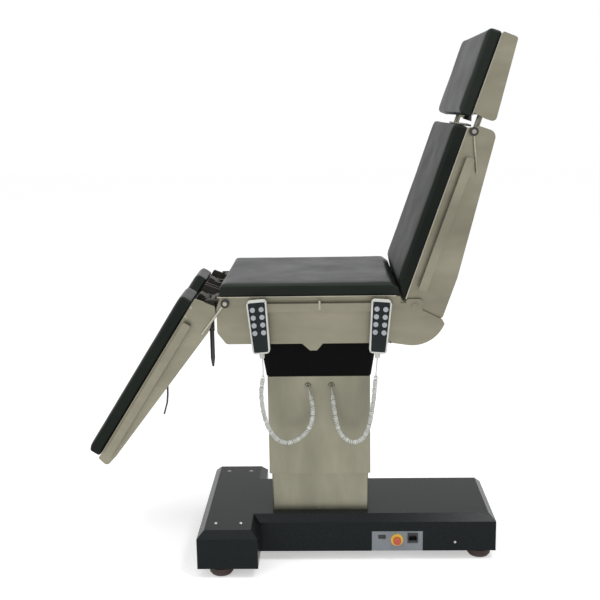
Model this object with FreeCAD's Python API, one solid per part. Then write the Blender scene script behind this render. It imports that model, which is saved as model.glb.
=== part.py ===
"""Operating table: a T-shaped base on lowering feet, a telescopic column, and a tilting top in sections.

Millimetres. +Z is up, +X points to the head end and -Y is the patient's left side, which faces the viewer.
The origin is on the floor, on the column's axis and in the plane of symmetry.
The sections are drawn lying flat and are then turned about their hinges to the posture shown.
"""

import FreeCAD, Part
import math
import os

V = FreeCAD.Vector
os.makedirs("parts", exist_ok=True)

# Play between pieces that move on each other, and between soft pads and what carries them
shaft_play = 0.15
slide_play = 0.5
pad_play = 0.3

# Posture: angles from the flat table
back_raise = 70.65
leg_drop = 57.55

# Base cover, a T seen from above
cover_bottom = 35.0
cover_height = 122.0
cover_wall = 3.0
cover_chamfer = 22.0
crossbar_start = -389.0
crossbar_length = 192.0
crossbar_half = 295.0
body_end = 568.0
body_half = 172.0
cover_screw_radius = 3.0
cover_screw_head = 6.5
cover_screw_places = [(-334.0, 223.0), (-254.0, 223.0)]
side_screw_place = (436.0, 65.0)
side_screw_head = 4.0
side_screw_radius = 2.0
side_screw_length = 8.0

# Chassis inside the cover
chassis_inset = 12.0
chassis_bottom = 128.0
chassis_thickness = 12.0
rib_thickness = 8.0
rib_depth = 55.0
rib_clearance = 5.0
rib_end = 320.0
boss_radius = 9.0
body_boss_start = 200.0
body_boss_inset = 72.0

# Feet that are lowered to lift the wheels off the floor
foot_radius = 38.0
foot_sole_radius = 20.0
foot_height = 30.0
foot_edge = 12.0
foot_stroke = 12.0
plunger_radius = 14.0
plunger_length = 90.0
foot_guide_wall = 8.0
foot_guide_bottom = 70.0
foot_guide_play = 0.3
crossbar_foot_inset = (72.0, 45.0)
body_foot_inset = (48.0, 47.0)

# Wheels
wheel_lift = 1.5
wheel_radius = 50.0
wheel_width = 30.0
wheel_hub_radius = 15.0
wheel_bead = 4.0
axle_radius = 8.0
fixed_wheel_inset = (96.0, 160.0)
bracket_thickness = 6.0
bracket_half = 20.0
castor_inset = (158.0, 92.0)
castor_trail = 22.0
castor_pin_radius = 6.0
castor_cheek = 4.0
castor_crown_radius = 30.0
castor_crown_bottom = 112.0
castor_crown = 8.0
kingpin_radius = 8.0

# Control panel in the near wall of the base
panel_start = 166.0
panel_length = 166.0
panel_top = 103.0
panel_recess = 1.0
panel_flange = 2.0
panel_overlap = 6.0
panel_box_depth = 36.0
panel_box_inset = 6.0
collar_radius = 20.0
collar_thickness = 3.0
estop_place = (248.0, 73.0)
estop_radius = 12.5
estop_height = 16.0
estop_stem = 5.0
estop_stroke = 4.0
switch_place = (199.0, 83.5)
switch_length = 24.0
switch_height = 13.0
switch_tilt = 6.0
switch_play = 2.6
switch_pin = 1.5
inlet_place = (299.0, 79.5)
inlet_length = 34.0
inlet_height = 34.0
inlet_mouth_length = 26.0
inlet_mouth_height = 18.0
inlet_depth = 18.0

# Hydraulic power pack under the chassis
pack_start = 100.0
pack_length = 200.0
pack_rib_gap = 23.0
pack_motor_reach = 15.0
pack_bottom = 45.0
pack_tank_radius = 34.0

# Column
lower_cover_half_x = 157.0
lower_cover_half_y = 118.0
lower_cover_top = 485.0
upper_cover_half_x = 163.5
upper_cover_half_y = 141.0
upper_cover_bottom = 292.0
upper_cover_top = 618.0
cover_sheet = 2.0
cover_bend = 6.0
cover_flange = 30.0
guide_half = 75.0
guide_wall = 8.0
guide_bottom = 50.0
guide_top = 480.0
mast_wall = 8.0
mast_play = 1.0
mast_bottom = 186.0
barrel_radius = 34.0
barrel_bore = 26.0
barrel_top = 400.0
rod_radius = 20.0
rod_bottom = 214.0
piston_radius = 25.7
piston_length = 24.0
head_plate = 15.0
head_plate_half_x = 152.0
head_plate_half_y = 132.0

# Black shroud round the column's head
shroud_gap = 5.0
shroud_height = 105.0
shroud_foot_x = 166.0
shroud_foot_y = 150.0
shroud_rim_x = 182.0
shroud_rim_y = 163.0
shroud_wall = 3.0
shroud_seat = 5.0

# Tilting head: a pin across the table, and journals along it
tilt_x = -16.0
tilt_rise = 132.0
roll_rise = 47.0
tilt_pin = 18.0
cheek_thickness = 16.0
cheek_gap = 176.0
cheek_foot_half = 60.0
cheek_radius = 36.0
cradle_half_x = 60.0
cradle_below = 27.0
cradle_above = 77.0
cradle_side_play = 1.0
journal_radius = 20.0
hanger_start = 126.0
hanger_thickness = 16.0
hanger_half = 45.0
hanger_below = 32.0

# Table top
top_half = 268.0
deck_rise = 89.7
deck_thickness = 6.0
side_plate = 8.0
plate_step = 1.7
seat_start = -300.0
seat_deck_end = 244.0
seat_plate_start = -304.0
seat_plate_depth = 143.0
seat_plate_lean = (11.0, 32.0)
seat_plate_corner = (27.0, 36.0)
lobe_start = 220.6
lobe_corner = (340.3, -18.0)
lobe_radius = 102.0
lobe_tip = (381.0, 56.4)
beam_width = 30.0
beam_height = 60.0
cross_beam_height = 34.0
cross_beam_width = 35.0
hinge_drop = 33.5
hinge_shaft = 12.0
back_hinge_x = 291.5
leg_hinge_x = -349.0
drive_radius = 29.0
drive_half = 90.0
drive_gap = 11.0

# Accessory rails
rail_height = 25.0
rail_thickness = 10.0
rail_standoff = 12.0
spacer_radius = 7.0
spacer_inset = 60.0
spacer_step = 220.0
seat_rail_start = -207.0
seat_rail_end = 225.0
seat_rail_drop = 28.0

# Cushions: thickness, and the bevels along the top edges as (inwards, down)
seat_pad_thickness = 40.0
pad_thickness = 41.0
pad_bevel = (8.0, 8.0)
seat_pad_start = -297.0
seat_pad_end = 246.0
seat_pad_head_bevel = (28.0, 20.0)

# Back section, lying flat: distances along the table from the fold of the seat's and back's planes
back_plane_start = 315.5
back_pad_tip = -23.0
back_pad_tip_side = 5.0
back_pad_face = 38.0
back_pad_end = 525.0
back_plate_start = -36.0
back_plate_end = 535.0
back_plate_end_cut = (16.0, 33.0)
back_plate_depth = 125.0
back_plate_end_depth = 85.0
back_taper_start = 97.0
back_plate_gap = 2.0
back_rail_start = 30.0
back_rail_end = 441.0
back_rail_middle = -35.5
back_beams = [60.0, 290.0, 500.0]
eye_radius = 26.0
eye_thickness = 12.0
back_beam_depth = 30.0
socket_depth = 10.0
socket_wall = 8.0

# Head section, on the same line as the back's
head_pad_start = 548.0
head_pad_end = 805.0
head_plate_start = 559.0
head_plate_end = 803.0
head_plate_depth = 69.5
head_plate_end_depth = 47.0
head_hinge = 580.0
head_hinge_drop = 28.0
head_pin = 8.0
head_rod_radius = 8.5
head_rod_start = 455.0
head_rod_inset = 35.0
head_bar = 26.0
head_bar_overhang = 20.0
head_knob_length = 22.0
head_knob_radii = (8.0, 14.5)
head_deck_start = 598.0
head_lug_length = 42.0
head_lug_place = 100.0
head_lug = 14.0
head_beam_inset = 23.0
head_beam_size = (20.0, 22.0)
clamp_along = 515.0
clamp_below = -21.0
head_clamp_angle = 95.0

# Leg sections, lying flat: distances from the fold of the seat's and legs' planes
leg_plane_start = -330.6
leg_gap = 12.0
leg_pad_start = 12.0
leg_pad_end = 598.0
leg_plate_end = 607.0
leg_heel = (44.0, 8.5)
leg_plate_depth = 88.0
leg_foot_depth = 36.0
leg_rail_start = 78.0
leg_rail_end = 585.0
leg_rail_middle = -20.5
leg_beams = [55.0, 300.0, 560.0]
leg_lug_half = 22.0
leg_rod_radius = 8.0
leg_rod_spread = 34.0
leg_rod_drop = 30.7
leg_rod_length = 60.0
leg_rod_overhang = 20.0
leg_ear = 11.0
leg_pin = 7.0
leg_nose = [(8.8, -63.7, 6), (-8.0, -75.7, 6)]
leg_pad_cut = (110.0, 100.0)
leg_bar_radius = 5.5
leg_bar_inset = 10.0
leg_bar_drop = 12.2
leg_bar_reach = 38.0
leg_bar_depth = 24.0
leg_clamp_place = (-277.4, 16.3)
leg_clamp_angle = 52.0
lock_handle_x = -329.0
lock_handle_offset = 50.0
lock_handle_drop = 65.0
lock_handle_hole = 12.0
lock_handle_pin = 3.0
clevis_clear = 16.0
clevis_thickness = 4.0
release_pivot = (-473.0, 636.0)
release_offset = 60.0
release_pin = 3.0
release_eye = 6.5
release_eye_half = 2.5
release_ear = 4.0
release_bend = [(-1.0, -55.0), (-4.0, -82.0), (-15.0, -120.0)]
release_width = 5.5

# Clamping levers
clamp_knob = 13.0
clamp_knob_thickness = 9.0
clamp_boss = 6.5
clamp_boss_thickness = 2.0
clamp_lever_radius = 3.8
clamp_lever_length = 118.0

# Handsets
handset_top_width = 60.0
handset_foot_width = 52.0
handset_length = 161.0
handset_thickness = 24.0
handset_corner = 11.0
handset_gap = 2.0
handset_face_inset = 4.5
handset_face_corner = 7.0
handset_face_depth = 1.0
foot_handset_top = (-181.0, 14.5)
foot_handset_lean = 4.6
head_handset_top = (190.5, 12.5)
head_handset_lean = -4.3
key_radius = 7.5
key_clearance = 0.4
key_height = 2.5
key_depth = 4.0
key_column = 13.0
key_first_row = 26.0
key_row = 23.5
key_rows = 4
hook_thickness = 3.0
hook_width = 30.0
hook_clearance = 0.5
hook_reach = 10.0
hook_plate = 1.5
hook_plate_height = 20.0
relief_length = 16.0
relief_radius = 7.0
cord_straight_end = 45.0

# Curly cords: outlets on the column's near face, and the routes of the coils
cord_radius = 7.0
gland_radius = 10.0
gland_length = 5.0
outlet_z = 588.0
foot_outlet_x = -35.0
head_outlet_x = 40.0
foot_cord_route = [
    (-35, -172, 588), (-32, -196, 560), (-27, -206, 524), (-32, -212, 482), (-54, -220, 446),
    (-92, -232, 426), (-128, -246, 440), (-154, -260, 480), (-168, -272, 530), (-174, -284, 580),
    (-174, -292, 622),
]
head_cord_route = [
    (40, -172, 588), (44, -196, 560), (48, -206, 524), (55, -211, 486), (63, -215, 456),
    (84, -222, 434), (110, -231, 427), (134, -241, 441), (149, -251, 472), (158, -262, 508),
    (163, -271, 548), (168, -283, 588), (170, -293, 628),
]

# Sizes that follow from the ones above
cover_top = cover_bottom + cover_height
crossbar_end = crossbar_start + crossbar_length
chassis_top = chassis_bottom + chassis_thickness
crossbar_foot = (crossbar_start + crossbar_foot_inset[0], crossbar_half - crossbar_foot_inset[1])
body_foot = (body_end - body_foot_inset[0], body_half - body_foot_inset[1])
fixed_wheel_x = crossbar_start + fixed_wheel_inset[0]
fixed_wheel_y = crossbar_half - fixed_wheel_inset[1]
castor_place = (body_end - castor_inset[0], body_half - castor_inset[1])
rib_half_gap = body_half - cover_wall - panel_flange - panel_box_depth - rib_clearance
pack_half = rib_half_gap - rib_thickness - pack_rib_gap
wheel_z = wheel_lift + wheel_radius
guide_bore = guide_half - guide_wall
mast_half = guide_bore - mast_play
head_plate_top = upper_cover_top + head_plate
shroud_foot = upper_cover_top + shroud_gap
shroud_top = shroud_foot + shroud_height
tilt_z = head_plate_top + tilt_rise
roll_z = tilt_z + roll_rise
cradle_bottom = tilt_z - cradle_below
cradle_top = tilt_z + cradle_above
deck_top = roll_z + deck_rise
plate_top = deck_top - plate_step
seat_plate_bottom = plate_top - seat_plate_depth
seat_rail_middle = plate_top - seat_rail_drop
leg_rod_z = deck_top - leg_rod_drop
lock_handle_top = leg_rod_z - lock_handle_drop
lock_handle_pivot = lock_handle_top - lock_handle_hole
pad_bottom = deck_top + pad_play
hinge_z = pad_bottom - hinge_drop
inner_plate = top_half - side_plate
rail_inner = top_half + rail_standoff
rail_outer = rail_inner + rail_thickness
handset_back = rail_outer + handset_gap
seat_rail_top = seat_rail_middle + rail_height / 2
head_rod_y = inner_plate - head_rod_inset
eye_place = drive_half + drive_gap
leg_middle = (top_half + leg_gap) / 2
lock_handle_y = leg_middle + lock_handle_offset
release_lever_y = leg_middle + release_offset


def box(x, y, z):
    """A box between two values on each axis."""
    return Part.makeBox(x[1] - x[0], y[1] - y[0], z[1] - z[0], V(x[0], y[0], z[0]))


def rod(start, end, radius):
    """A round bar from one point to another."""
    start, end = V(*start), V(*end)
    return Part.makeCylinder(radius, (end - start).Length, start, end - start)


def cone(start, end, radius, end_radius):
    """A tapered round bar from one point to another."""
    start, end = V(*start), V(*end)
    return Part.makeCone(radius, end_radius, (end - start).Length, start, end - start)


def outline(corners, place):
    """A closed wire through corners (a, b) or (a, b, radius), each set in space by place(a, b)."""
    edges = []
    ends = []
    count = len(corners)
    for i, corner in enumerate(corners):
        here = V(corner[0], corner[1], 0)
        radius = corner[2] if len(corner) > 2 else 0
        if not radius:
            ends.append((here, here, None))
            continue
        before = V(*corners[i - 1][:2], 0) - here
        after = V(*corners[(i + 1) % count][:2], 0) - here
        half = before.getAngle(after) / 2
        before.normalize()
        after.normalize()
        reach = radius / math.tan(half)
        middle = before + after
        middle.normalize()
        near = here + middle * (radius / math.sin(half) - radius)
        ends.append((here + before * reach, here + after * reach, near))
    for i in range(count):
        start, end, near = ends[i]
        if near is not None:
            edges.append(Part.Arc(place(start), place(near), place(end)).toShape())
        following = ends[(i + 1) % count][0]
        if (following - end).Length > 1e-6:
            edges.append(Part.LineSegment(place(end), place(following)).toShape())
    return Part.Wire(Part.__sortEdges__(edges))


def prism(axis, corners, low, high):
    """An outline drawn across an axis and drawn out along it from low to high."""
    place = {
        "x": lambda p: V(low, p.x, p.y),
        "y": lambda p: V(p.x, low, p.y),
        "z": lambda p: V(p.x, p.y, low),
    }[axis]
    way = {"x": V(high - low, 0, 0), "y": V(0, high - low, 0), "z": V(0, 0, high - low)}[axis]
    return Part.Face(outline(corners, place)).extrude(way)


def rectangle(a, b, radius=0):
    """The corners of a rectangle between two values each way, all of one radius."""
    return [(a[0], b[0], radius), (a[1], b[0], radius), (a[1], b[1], radius), (a[0], b[1], radius)]


def join(first, *others):
    """One solid from several that touch or overlap."""
    return first.fuse(list(others)).removeSplitter()


def mirrored(shape):
    """The same piece on the other side of the table."""
    return shape.mirror(V(0, 0, 0), V(0, 1, 0))


def turned(shape, x, z, degrees):
    """A piece turned about a line across the table; a positive angle lowers the head end."""
    copy = shape.copy()
    copy.rotate(V(x, 0, z), V(0, 1, 0), degrees)
    return copy


def raised_back(shape):
    """A piece of the flat back section, turned up to the posture shown."""
    return turned(shape, back_hinge_x, hinge_z, -back_raise)


def lowered_leg(shape):
    """A piece of a flat leg section, turned down to the posture shown."""
    return turned(shape, leg_hinge_x, hinge_z, -leg_drop)


def on_back(along, below):
    """Where a point of the flat back section is once the back is up: (x, z)."""
    point = raised_back(Part.Vertex(back_plane_start + along, 0, pad_bottom + below)).Point
    return point.x, point.z


def save(name, *solids):
    """Write the solids of one sub-part."""
    shape = solids[0] if len(solids) == 1 else Part.makeCompound(list(solids))
    shape.exportStep("parts/" + name + ".step")


def base_outline(inset):
    """The T of the base seen from above, drawn in by an inset."""
    near = body_half - inset
    wide = crossbar_half - inset
    start, end, tip = crossbar_start + inset, crossbar_end - inset, body_end - inset
    return [
        (start, -wide), (end, -wide), (end, -near), (tip, -near),
        (tip, near), (end, near), (end, wide), (start, wide),
    ]


def base_body(inset, top_inset, bottom, top):
    """A T-shaped block with its top edges chamfered."""
    shoulder = top - (cover_chamfer - top_inset)
    straight = prism("z", base_outline(inset), bottom, shoulder)
    lower = outline(base_outline(inset), lambda p: V(p.x, p.y, shoulder))
    upper = outline(base_outline(inset + cover_chamfer - top_inset), lambda p: V(p.x, p.y, top))
    return join(straight, Part.makeLoft([lower, upper], True, True))


def base_cover():
    """The sheet cover of the base, open below, and the screws that hold it down."""
    inner = cover_top - cover_wall
    shell = base_body(0, 0, cover_bottom, cover_top)
    shell = shell.cut(base_body(cover_wall, 0, cover_bottom - 1, inner))
    well = guide_half + 10
    shell = shell.cut(box((-well, well), (-well, well), (inner - 1, cover_top + 1)))
    window = box(
        (panel_start, panel_start + panel_length), (-body_half - 1, -body_half + cover_wall + 1),
        (cover_bottom - 1, panel_top),
    )
    shell = shell.cut(window)
    screws = []
    for x, y in [(x, side * y) for x, y in cover_screw_places for side in (-1, 1)]:
        shell = shell.cut(rod((x, y, inner - 1), (x, y, cover_top + 1), cover_screw_radius + pad_play))
        shank = rod((x, y, chassis_top + 2), (x, y, cover_top), cover_screw_radius)
        dome = Part.makeCone(cover_screw_head, cover_screw_head * 0.6, 2.5, V(x, y, cover_top))
        screws.append(join(shank, dome))
    x, z = side_screw_place
    for side in (-1, 1):
        wall = side * body_half
        shell = shell.cut(
            rod((x, wall + side, z), (x, wall - side * (cover_wall + 1), z), side_screw_radius + pad_play),
        )
        head = rod((x, wall, z), (x, wall + side * 1.5, z), side_screw_head)
        screws.append(
            join(head, rod((x, wall, z), (x, wall - side * side_screw_length, z), side_screw_radius)),
        )
    save("base_cover", shell)
    save("base_cover_screws", *screws)


def bored(solid, x, y, radius):
    """A solid with an upright hole through it."""
    return solid.cut(rod((x, y, 0), (x, y, cover_top), radius))


def feet_places():
    return [(x, side * y) for x, y in (crossbar_foot, body_foot) for side in (-1, 1)]


def base_frame():
    """The welded chassis, the fixed tube of the column and the barrel of its lifting cylinder."""
    plate = prism("z", base_outline(chassis_inset), chassis_bottom, chassis_top)
    well = box((-guide_half, guide_half), (-guide_half, guide_half), (chassis_bottom - 1, chassis_top + 1))
    plate = plate.cut(well)
    rib_bottom = chassis_bottom - rib_depth
    rib_start = crossbar_end - 20
    solids = [
        box(
            (rib_start - rib_thickness, rib_start), (-rib_half_gap, rib_half_gap),
            (rib_bottom, chassis_bottom),
        ),
    ]
    for side in (-1, 1):
        y = sorted((side * rib_half_gap, side * (rib_half_gap - rib_thickness)))
        solids.append(box((rib_start, rib_end), y, (rib_bottom, chassis_bottom)))
    for x, y in feet_places():
        hole = plunger_radius + foot_guide_play
        plate = bored(plate, x, y, hole)
        sleeve_tube = rod((x, y, foot_guide_bottom), (x, y, chassis_bottom), plunger_radius + foot_guide_wall)
        solids.append(bored(sleeve_tube, x, y, hole))
    inner = cover_top - cover_wall
    for x, y in [(x, side * y) for x, y in cover_screw_places for side in (-1, 1)]:
        hole = cover_screw_radius + pad_play
        plate = bored(plate, x, y, hole)
        solids.append(bored(rod((x, y, chassis_top), (x, y, inner), boss_radius), x, y, hole))
    for x in (body_boss_start, body_foot[0]):
        for side in (-1, 1):
            y = side * (body_half - body_boss_inset)
            solids.append(rod((x, y, chassis_top), (x, y, inner), boss_radius))
    for side in (-1, 1):
        x, y = castor_place[0], side * castor_place[1]
        crown_top = castor_crown_bottom + castor_crown
        hole = kingpin_radius + shaft_play
        plate = bored(plate, x, y, hole)
        solids.append(
            bored(
                rod((x, y, crown_top + slide_play), (x, y, chassis_bottom), castor_crown_radius), x, y, hole,
            ),
        )
        for face in (-1, 1):
            middle = side * fixed_wheel_y + face * (wheel_width / 2 + 7)
            bracket = prism("y", [
                (fixed_wheel_x - bracket_half, chassis_bottom),
                (fixed_wheel_x - bracket_half, wheel_z - 14, 12),
                (fixed_wheel_x + bracket_half, wheel_z - 14, 12),
                (fixed_wheel_x + bracket_half, chassis_bottom),
            ], middle - bracket_thickness / 2, middle + bracket_thickness / 2)
            axle = rod(
                (fixed_wheel_x, -body_half, wheel_z), (fixed_wheel_x, body_half, wheel_z),
                axle_radius + shaft_play,
            )
            solids.append(bracket.cut(axle))
    guide = box((-guide_half, guide_half), (-guide_half, guide_half), (guide_bottom, guide_top))
    guide = guide.cut(
        box((-guide_bore, guide_bore), (-guide_bore, guide_bore), (guide_bottom + 10, guide_top + 1)),
    )
    barrel = rod((0, 0, guide_bottom + 10), (0, 0, barrel_top), barrel_radius)
    barrel = barrel.cut(rod((0, 0, guide_bottom + 18), (0, 0, barrel_top - 10), barrel_bore))
    barrel = barrel.cut(rod((0, 0, barrel_top - 11), (0, 0, barrel_top + 1), rod_radius + shaft_play))
    save("base_frame", plate, guide, barrel, *solids)


def lock_feet():
    """Four rubber-soled feet on plungers, lowered together to lift the wheels off the floor."""
    feet = []
    for x, y in feet_places():
        profile = [
            (0, 0), (foot_sole_radius, 0), (foot_radius - 6, foot_edge / 3), (foot_radius, foot_edge),
            (foot_radius, foot_height - 2), (foot_radius - 2, foot_height), (0, foot_height),
        ]
        pad = Part.Face(outline(profile, lambda p: V(x + p.x, y, p.y))).revolve(V(x, y, 0), V(0, 0, 1), 360)
        plunger = rod((x, y, foot_height), (x, y, foot_height + plunger_length), plunger_radius)
        feet.append(join(pad, plunger))
    save("lock_feet", *feet)


def wheel(x, y, bore):
    """A solid-tyred wheel with its axle across the table."""
    low, high = y - wheel_width / 2, y + wheel_width / 2
    hub = 1.5
    profile = [
        (bore, low - hub), (wheel_hub_radius, low - hub), (wheel_hub_radius, low + 4),
        (wheel_radius - 14, low + 4), (wheel_radius - 12, low), (wheel_radius - 3, low),
        (wheel_radius, low + wheel_bead),
        (wheel_radius, high - wheel_bead), (wheel_radius - 3, high), (wheel_radius - 12, high),
        (wheel_radius - 14, high - 4), (wheel_hub_radius, high - 4), (wheel_hub_radius, high + hub),
        (bore, high + hub),
    ]
    face = Part.Face(outline(profile, lambda p: V(x, p.y, wheel_z + p.x)))
    return face.revolve(V(x, y, wheel_z), V(0, 1, 0), 360)


def wheels():
    """A fixed pair on one axle at the foot end, and two swivel castors at the head end."""
    reach = fixed_wheel_y + wheel_width / 2 + 14
    axle = rod((fixed_wheel_x, -reach, wheel_z), (fixed_wheel_x, reach, wheel_z), axle_radius)
    pair = [wheel(fixed_wheel_x, side * fixed_wheel_y, axle_radius) for side in (-1, 1)]
    save("fixed_wheels", join(axle, *pair))
    for side, name in ((-1, "left"), (1, "right")):
        x, y = castor_place[0], side * castor_place[1]
        axle_x = x - castor_trail
        crown_top = castor_crown_bottom + castor_crown
        crown = rod((x, y, castor_crown_bottom), (x, y, crown_top), castor_crown_radius)
        kingpin = rod((x, y, crown_top), (x, y, chassis_top + 6), kingpin_radius)
        inner = wheel_width / 2 + 2
        cheeks = []
        for face in (-1, 1):
            span = sorted((y + face * inner, y + face * (inner + castor_cheek)))
            cheeks.append(prism("y", [
                (x - castor_crown_radius + 8, castor_crown_bottom), (axle_x - 12, wheel_z, 6),
                (axle_x - 10, wheel_z - 12, 6),
                (axle_x + 10, wheel_z - 12, 6), (x + castor_crown_radius - 8, castor_crown_bottom),
            ], *span))
        pin = rod(
            (axle_x, y - inner - castor_cheek, wheel_z), (axle_x, y + inner + castor_cheek, wheel_z),
            castor_pin_radius,
        )
        save("castor_fork_" + name, join(crown, kingpin, pin, *cheeks))
        save("castor_wheel_" + name, wheel(axle_x, y, castor_pin_radius + shaft_play))


def control_panel():
    """The panel in the base's near wall, with the collar of the stop button and the mains inlet."""
    face = -body_half + panel_recess
    wall = -body_half + cover_wall
    back = wall + panel_flange
    end = panel_start + panel_length
    over = panel_overlap
    plate = box((panel_start + 0.5, end - 0.5), (face, wall), (cover_bottom, panel_top - 0.5))
    flange = box((panel_start - over, end + over), (wall, back), (cover_bottom, panel_top + over))
    inset = panel_box_inset
    deep = back + panel_box_depth
    housing = box((panel_start + inset, end - inset), (back, deep), (cover_bottom + inset, panel_top - inset))
    ix, iz = inlet_place
    half, tall = inlet_length / 2, inlet_height / 2
    panel = join(plate, flange, housing)
    socket = box((ix - half, ix + half), (face - 1.5, face + inlet_depth + 2), (iz - tall, iz + tall))
    panel = panel.cut(box((ix - half, ix + half), (face - 2, face + inlet_depth + 2), (iz - tall, iz + tall)))
    x, z = estop_place
    panel = panel.cut(rod((x, face - 1, z), (x, back + 12 + estop_stroke, z), estop_stem + slide_play))
    # The rocker's well, with a bore above and below for the pin that it turns on
    sx, sz = switch_place
    half = switch_length / 2
    tall = switch_height / 2 + slide_play
    panel = panel.cut(box((sx - half, sx + half), (face - 1, back + 9), (sz - tall, sz + tall)))
    pin_y = back + 3
    panel = panel.cut(rod((sx, pin_y, sz - tall - 4), (sx, pin_y, sz + tall + 4), switch_pin + shaft_play))
    mouth = inlet_mouth_length / 2, inlet_mouth_height / 2
    socket = socket.cut(prism("y", [
        (ix - mouth[0], iz - mouth[1]), (ix + mouth[0], iz - mouth[1]), (ix + mouth[0], iz + mouth[1] - 5),
        (ix + mouth[0] - 5, iz + mouth[1]), (ix - mouth[0] + 5, iz + mouth[1]),
        (ix - mouth[0], iz + mouth[1] - 5),
    ], face - 2, face + inlet_depth))
    collar = rod((x, face - collar_thickness, z), (x, face, z), collar_radius)
    collar = collar.cut(rod((x, face - collar_thickness - 1, z), (x, face + 1, z), estop_stem + slide_play))
    save("control_panel", panel, collar, socket)
    front = face - collar_thickness - estop_height
    rest = face - collar_thickness - estop_stroke - 1
    crown = cone((x, front + 3, z), (x, front, z), estop_radius, estop_radius - 3.5)
    cap = join(rod((x, front + 3, z), (x, rest, z), estop_radius), crown)
    save("estop_button", join(cap, rod((x, rest, z), (x, back + 10, z), estop_stem)))
    half = (switch_length - switch_play) / 2
    rocker = prism("z", [
        (sx - half, face - 1.5), (sx, face), (sx + half, face - 1.5), (sx + half - 3, back + 6),
        (sx - half + 3, back + 6),
    ], sz - switch_height / 2, sz + switch_height / 2)
    reach = switch_height / 2 + 3
    rocker = join(rocker, rod((sx, pin_y, sz - reach), (sx, pin_y, sz + reach), switch_pin))
    rocker.rotate(V(sx, pin_y, sz), V(0, 0, 1), -switch_tilt)
    save("power_switch", rocker)


def power_pack():
    """The pump, its tank and the valve block, hung under the chassis."""
    end = pack_start + pack_length
    block = box((pack_start, pack_start + 90), (-20, pack_half), (pack_bottom + 10, chassis_bottom))
    tank = rod(
        (pack_start + 90, 45, pack_bottom + pack_tank_radius), (end, 45, pack_bottom + pack_tank_radius),
        pack_tank_radius,
    )
    motor = rod((pack_start + 45, -pack_half - pack_motor_reach, 85), (pack_start + 45, -20, 85), 28)
    cradle = box((end - 40, end - 28), (20, 70), (pack_bottom + pack_tank_radius, chassis_bottom))
    save("power_pack", join(block, tank, motor, cradle))


def sleeve(half_x, half_y, bottom, top):
    """A folded sheet cover round the column, open at both ends."""
    outer = prism("z", rectangle((-half_x, half_x), (-half_y, half_y), cover_bend), bottom, top)
    x, y = half_x - cover_sheet, half_y - cover_sheet
    return outer.cut(prism("z", rectangle((-x, x), (-y, y), cover_bend - cover_sheet), bottom - 1, top + 1))


def column():
    """The covers, the lifting mast with the yoke on its head plate, and the black shroud."""
    save("lower_column_cover", sleeve(lower_cover_half_x, lower_cover_half_y, cover_top, lower_cover_top))
    cover = sleeve(upper_cover_half_x, upper_cover_half_y, upper_cover_bottom, upper_cover_top)
    flange = box(
        (-upper_cover_half_x + 1, upper_cover_half_x - 1), (-upper_cover_half_y + 1, upper_cover_half_y - 1),
        (upper_cover_top - 4, upper_cover_top),
    )
    opening_x, opening_y = upper_cover_half_x - cover_flange, upper_cover_half_y - cover_flange
    flange = flange.cut(
        box((-opening_x, opening_x), (-opening_y, opening_y), (upper_cover_top - 5, upper_cover_top + 1)),
    )
    glands = [gland(x) for x in (foot_outlet_x, head_outlet_x)]
    save("upper_column_cover", join(cover, flange), *glands)
    mast = box((-mast_half, mast_half), (-mast_half, mast_half), (mast_bottom, upper_cover_top))
    bore = mast_half - mast_wall
    mast = mast.cut(box((-bore, bore), (-bore, bore), (mast_bottom - 1, upper_cover_top)))
    plate = prism("z", rectangle(
        (-head_plate_half_x, head_plate_half_x), (-head_plate_half_y, head_plate_half_y), 10,
    ), upper_cover_top, head_plate_top)
    cheeks = []
    inner = cheek_gap / 2
    for side in (-1, 1):
        y = sorted((side * inner, side * (inner + cheek_thickness)))
        plate_face = prism("y", [
            (tilt_x - cheek_foot_half, head_plate_top), (tilt_x + cheek_foot_half, head_plate_top),
            (tilt_x + cheek_radius + 2, tilt_z), (tilt_x - cheek_radius - 2, tilt_z),
        ], *y)
        cheeks += [plate_face, rod((tilt_x, y[0], tilt_z), (tilt_x, y[1], tilt_z), cheek_radius)]
    ram = rod((0, 0, rod_bottom), (0, 0, upper_cover_top), rod_radius)
    piston = rod((0, 0, rod_bottom - piston_length), (0, 0, rod_bottom), piston_radius)
    head = join(mast, plate, ram, piston, *cheeks)
    pin = tilt_pin + shaft_play
    head = head.cut(rod((tilt_x, -top_half, tilt_z), (tilt_x, top_half, tilt_z), pin))
    save("lift_mast", head)
    save("column_head_shroud", shroud())


def gland(x):
    """The outlet that a handset's cord comes out of."""
    face = -upper_cover_half_y
    return cone((x, face, outlet_z), (x, face - gland_length, outlet_z), gland_radius, gland_radius - 2)


def shroud():
    """The flared black shroud, carried on the head plate by a flange inside."""
    def ring(level, half_x, half_y, bend):
        return outline(rectangle((-half_x, half_x), (-half_y, half_y), bend), lambda p: V(p.x, p.y, level))

    wall = shroud_wall
    outer = Part.makeLoft([
        ring(shroud_foot, shroud_foot_x, shroud_foot_y, 14), ring(shroud_top, shroud_rim_x, shroud_rim_y, 14),
    ], True, True)
    inner = Part.makeLoft([
        ring(shroud_foot - 0.01, shroud_foot_x - wall, shroud_foot_y - wall, 14 - wall),
        ring(shroud_top + 0.01, shroud_rim_x - wall, shroud_rim_y - wall, 14 - wall),
    ], True, True)
    lip = prism("z", rectangle(
        (-shroud_foot_x + 2, shroud_foot_x - 2), (-shroud_foot_y + 2, shroud_foot_y - 2), 12,
    ), head_plate_top, head_plate_top + shroud_seat)
    opening_x, opening_y = head_plate_half_x - 12, head_plate_half_y - 12
    lip = lip.cut(
        box(
            (-opening_x, opening_x), (-opening_y, opening_y),
            (head_plate_top - 1, head_plate_top + shroud_seat + 1),
        ),
    )
    return join(outer.cut(inner), lip)


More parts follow.
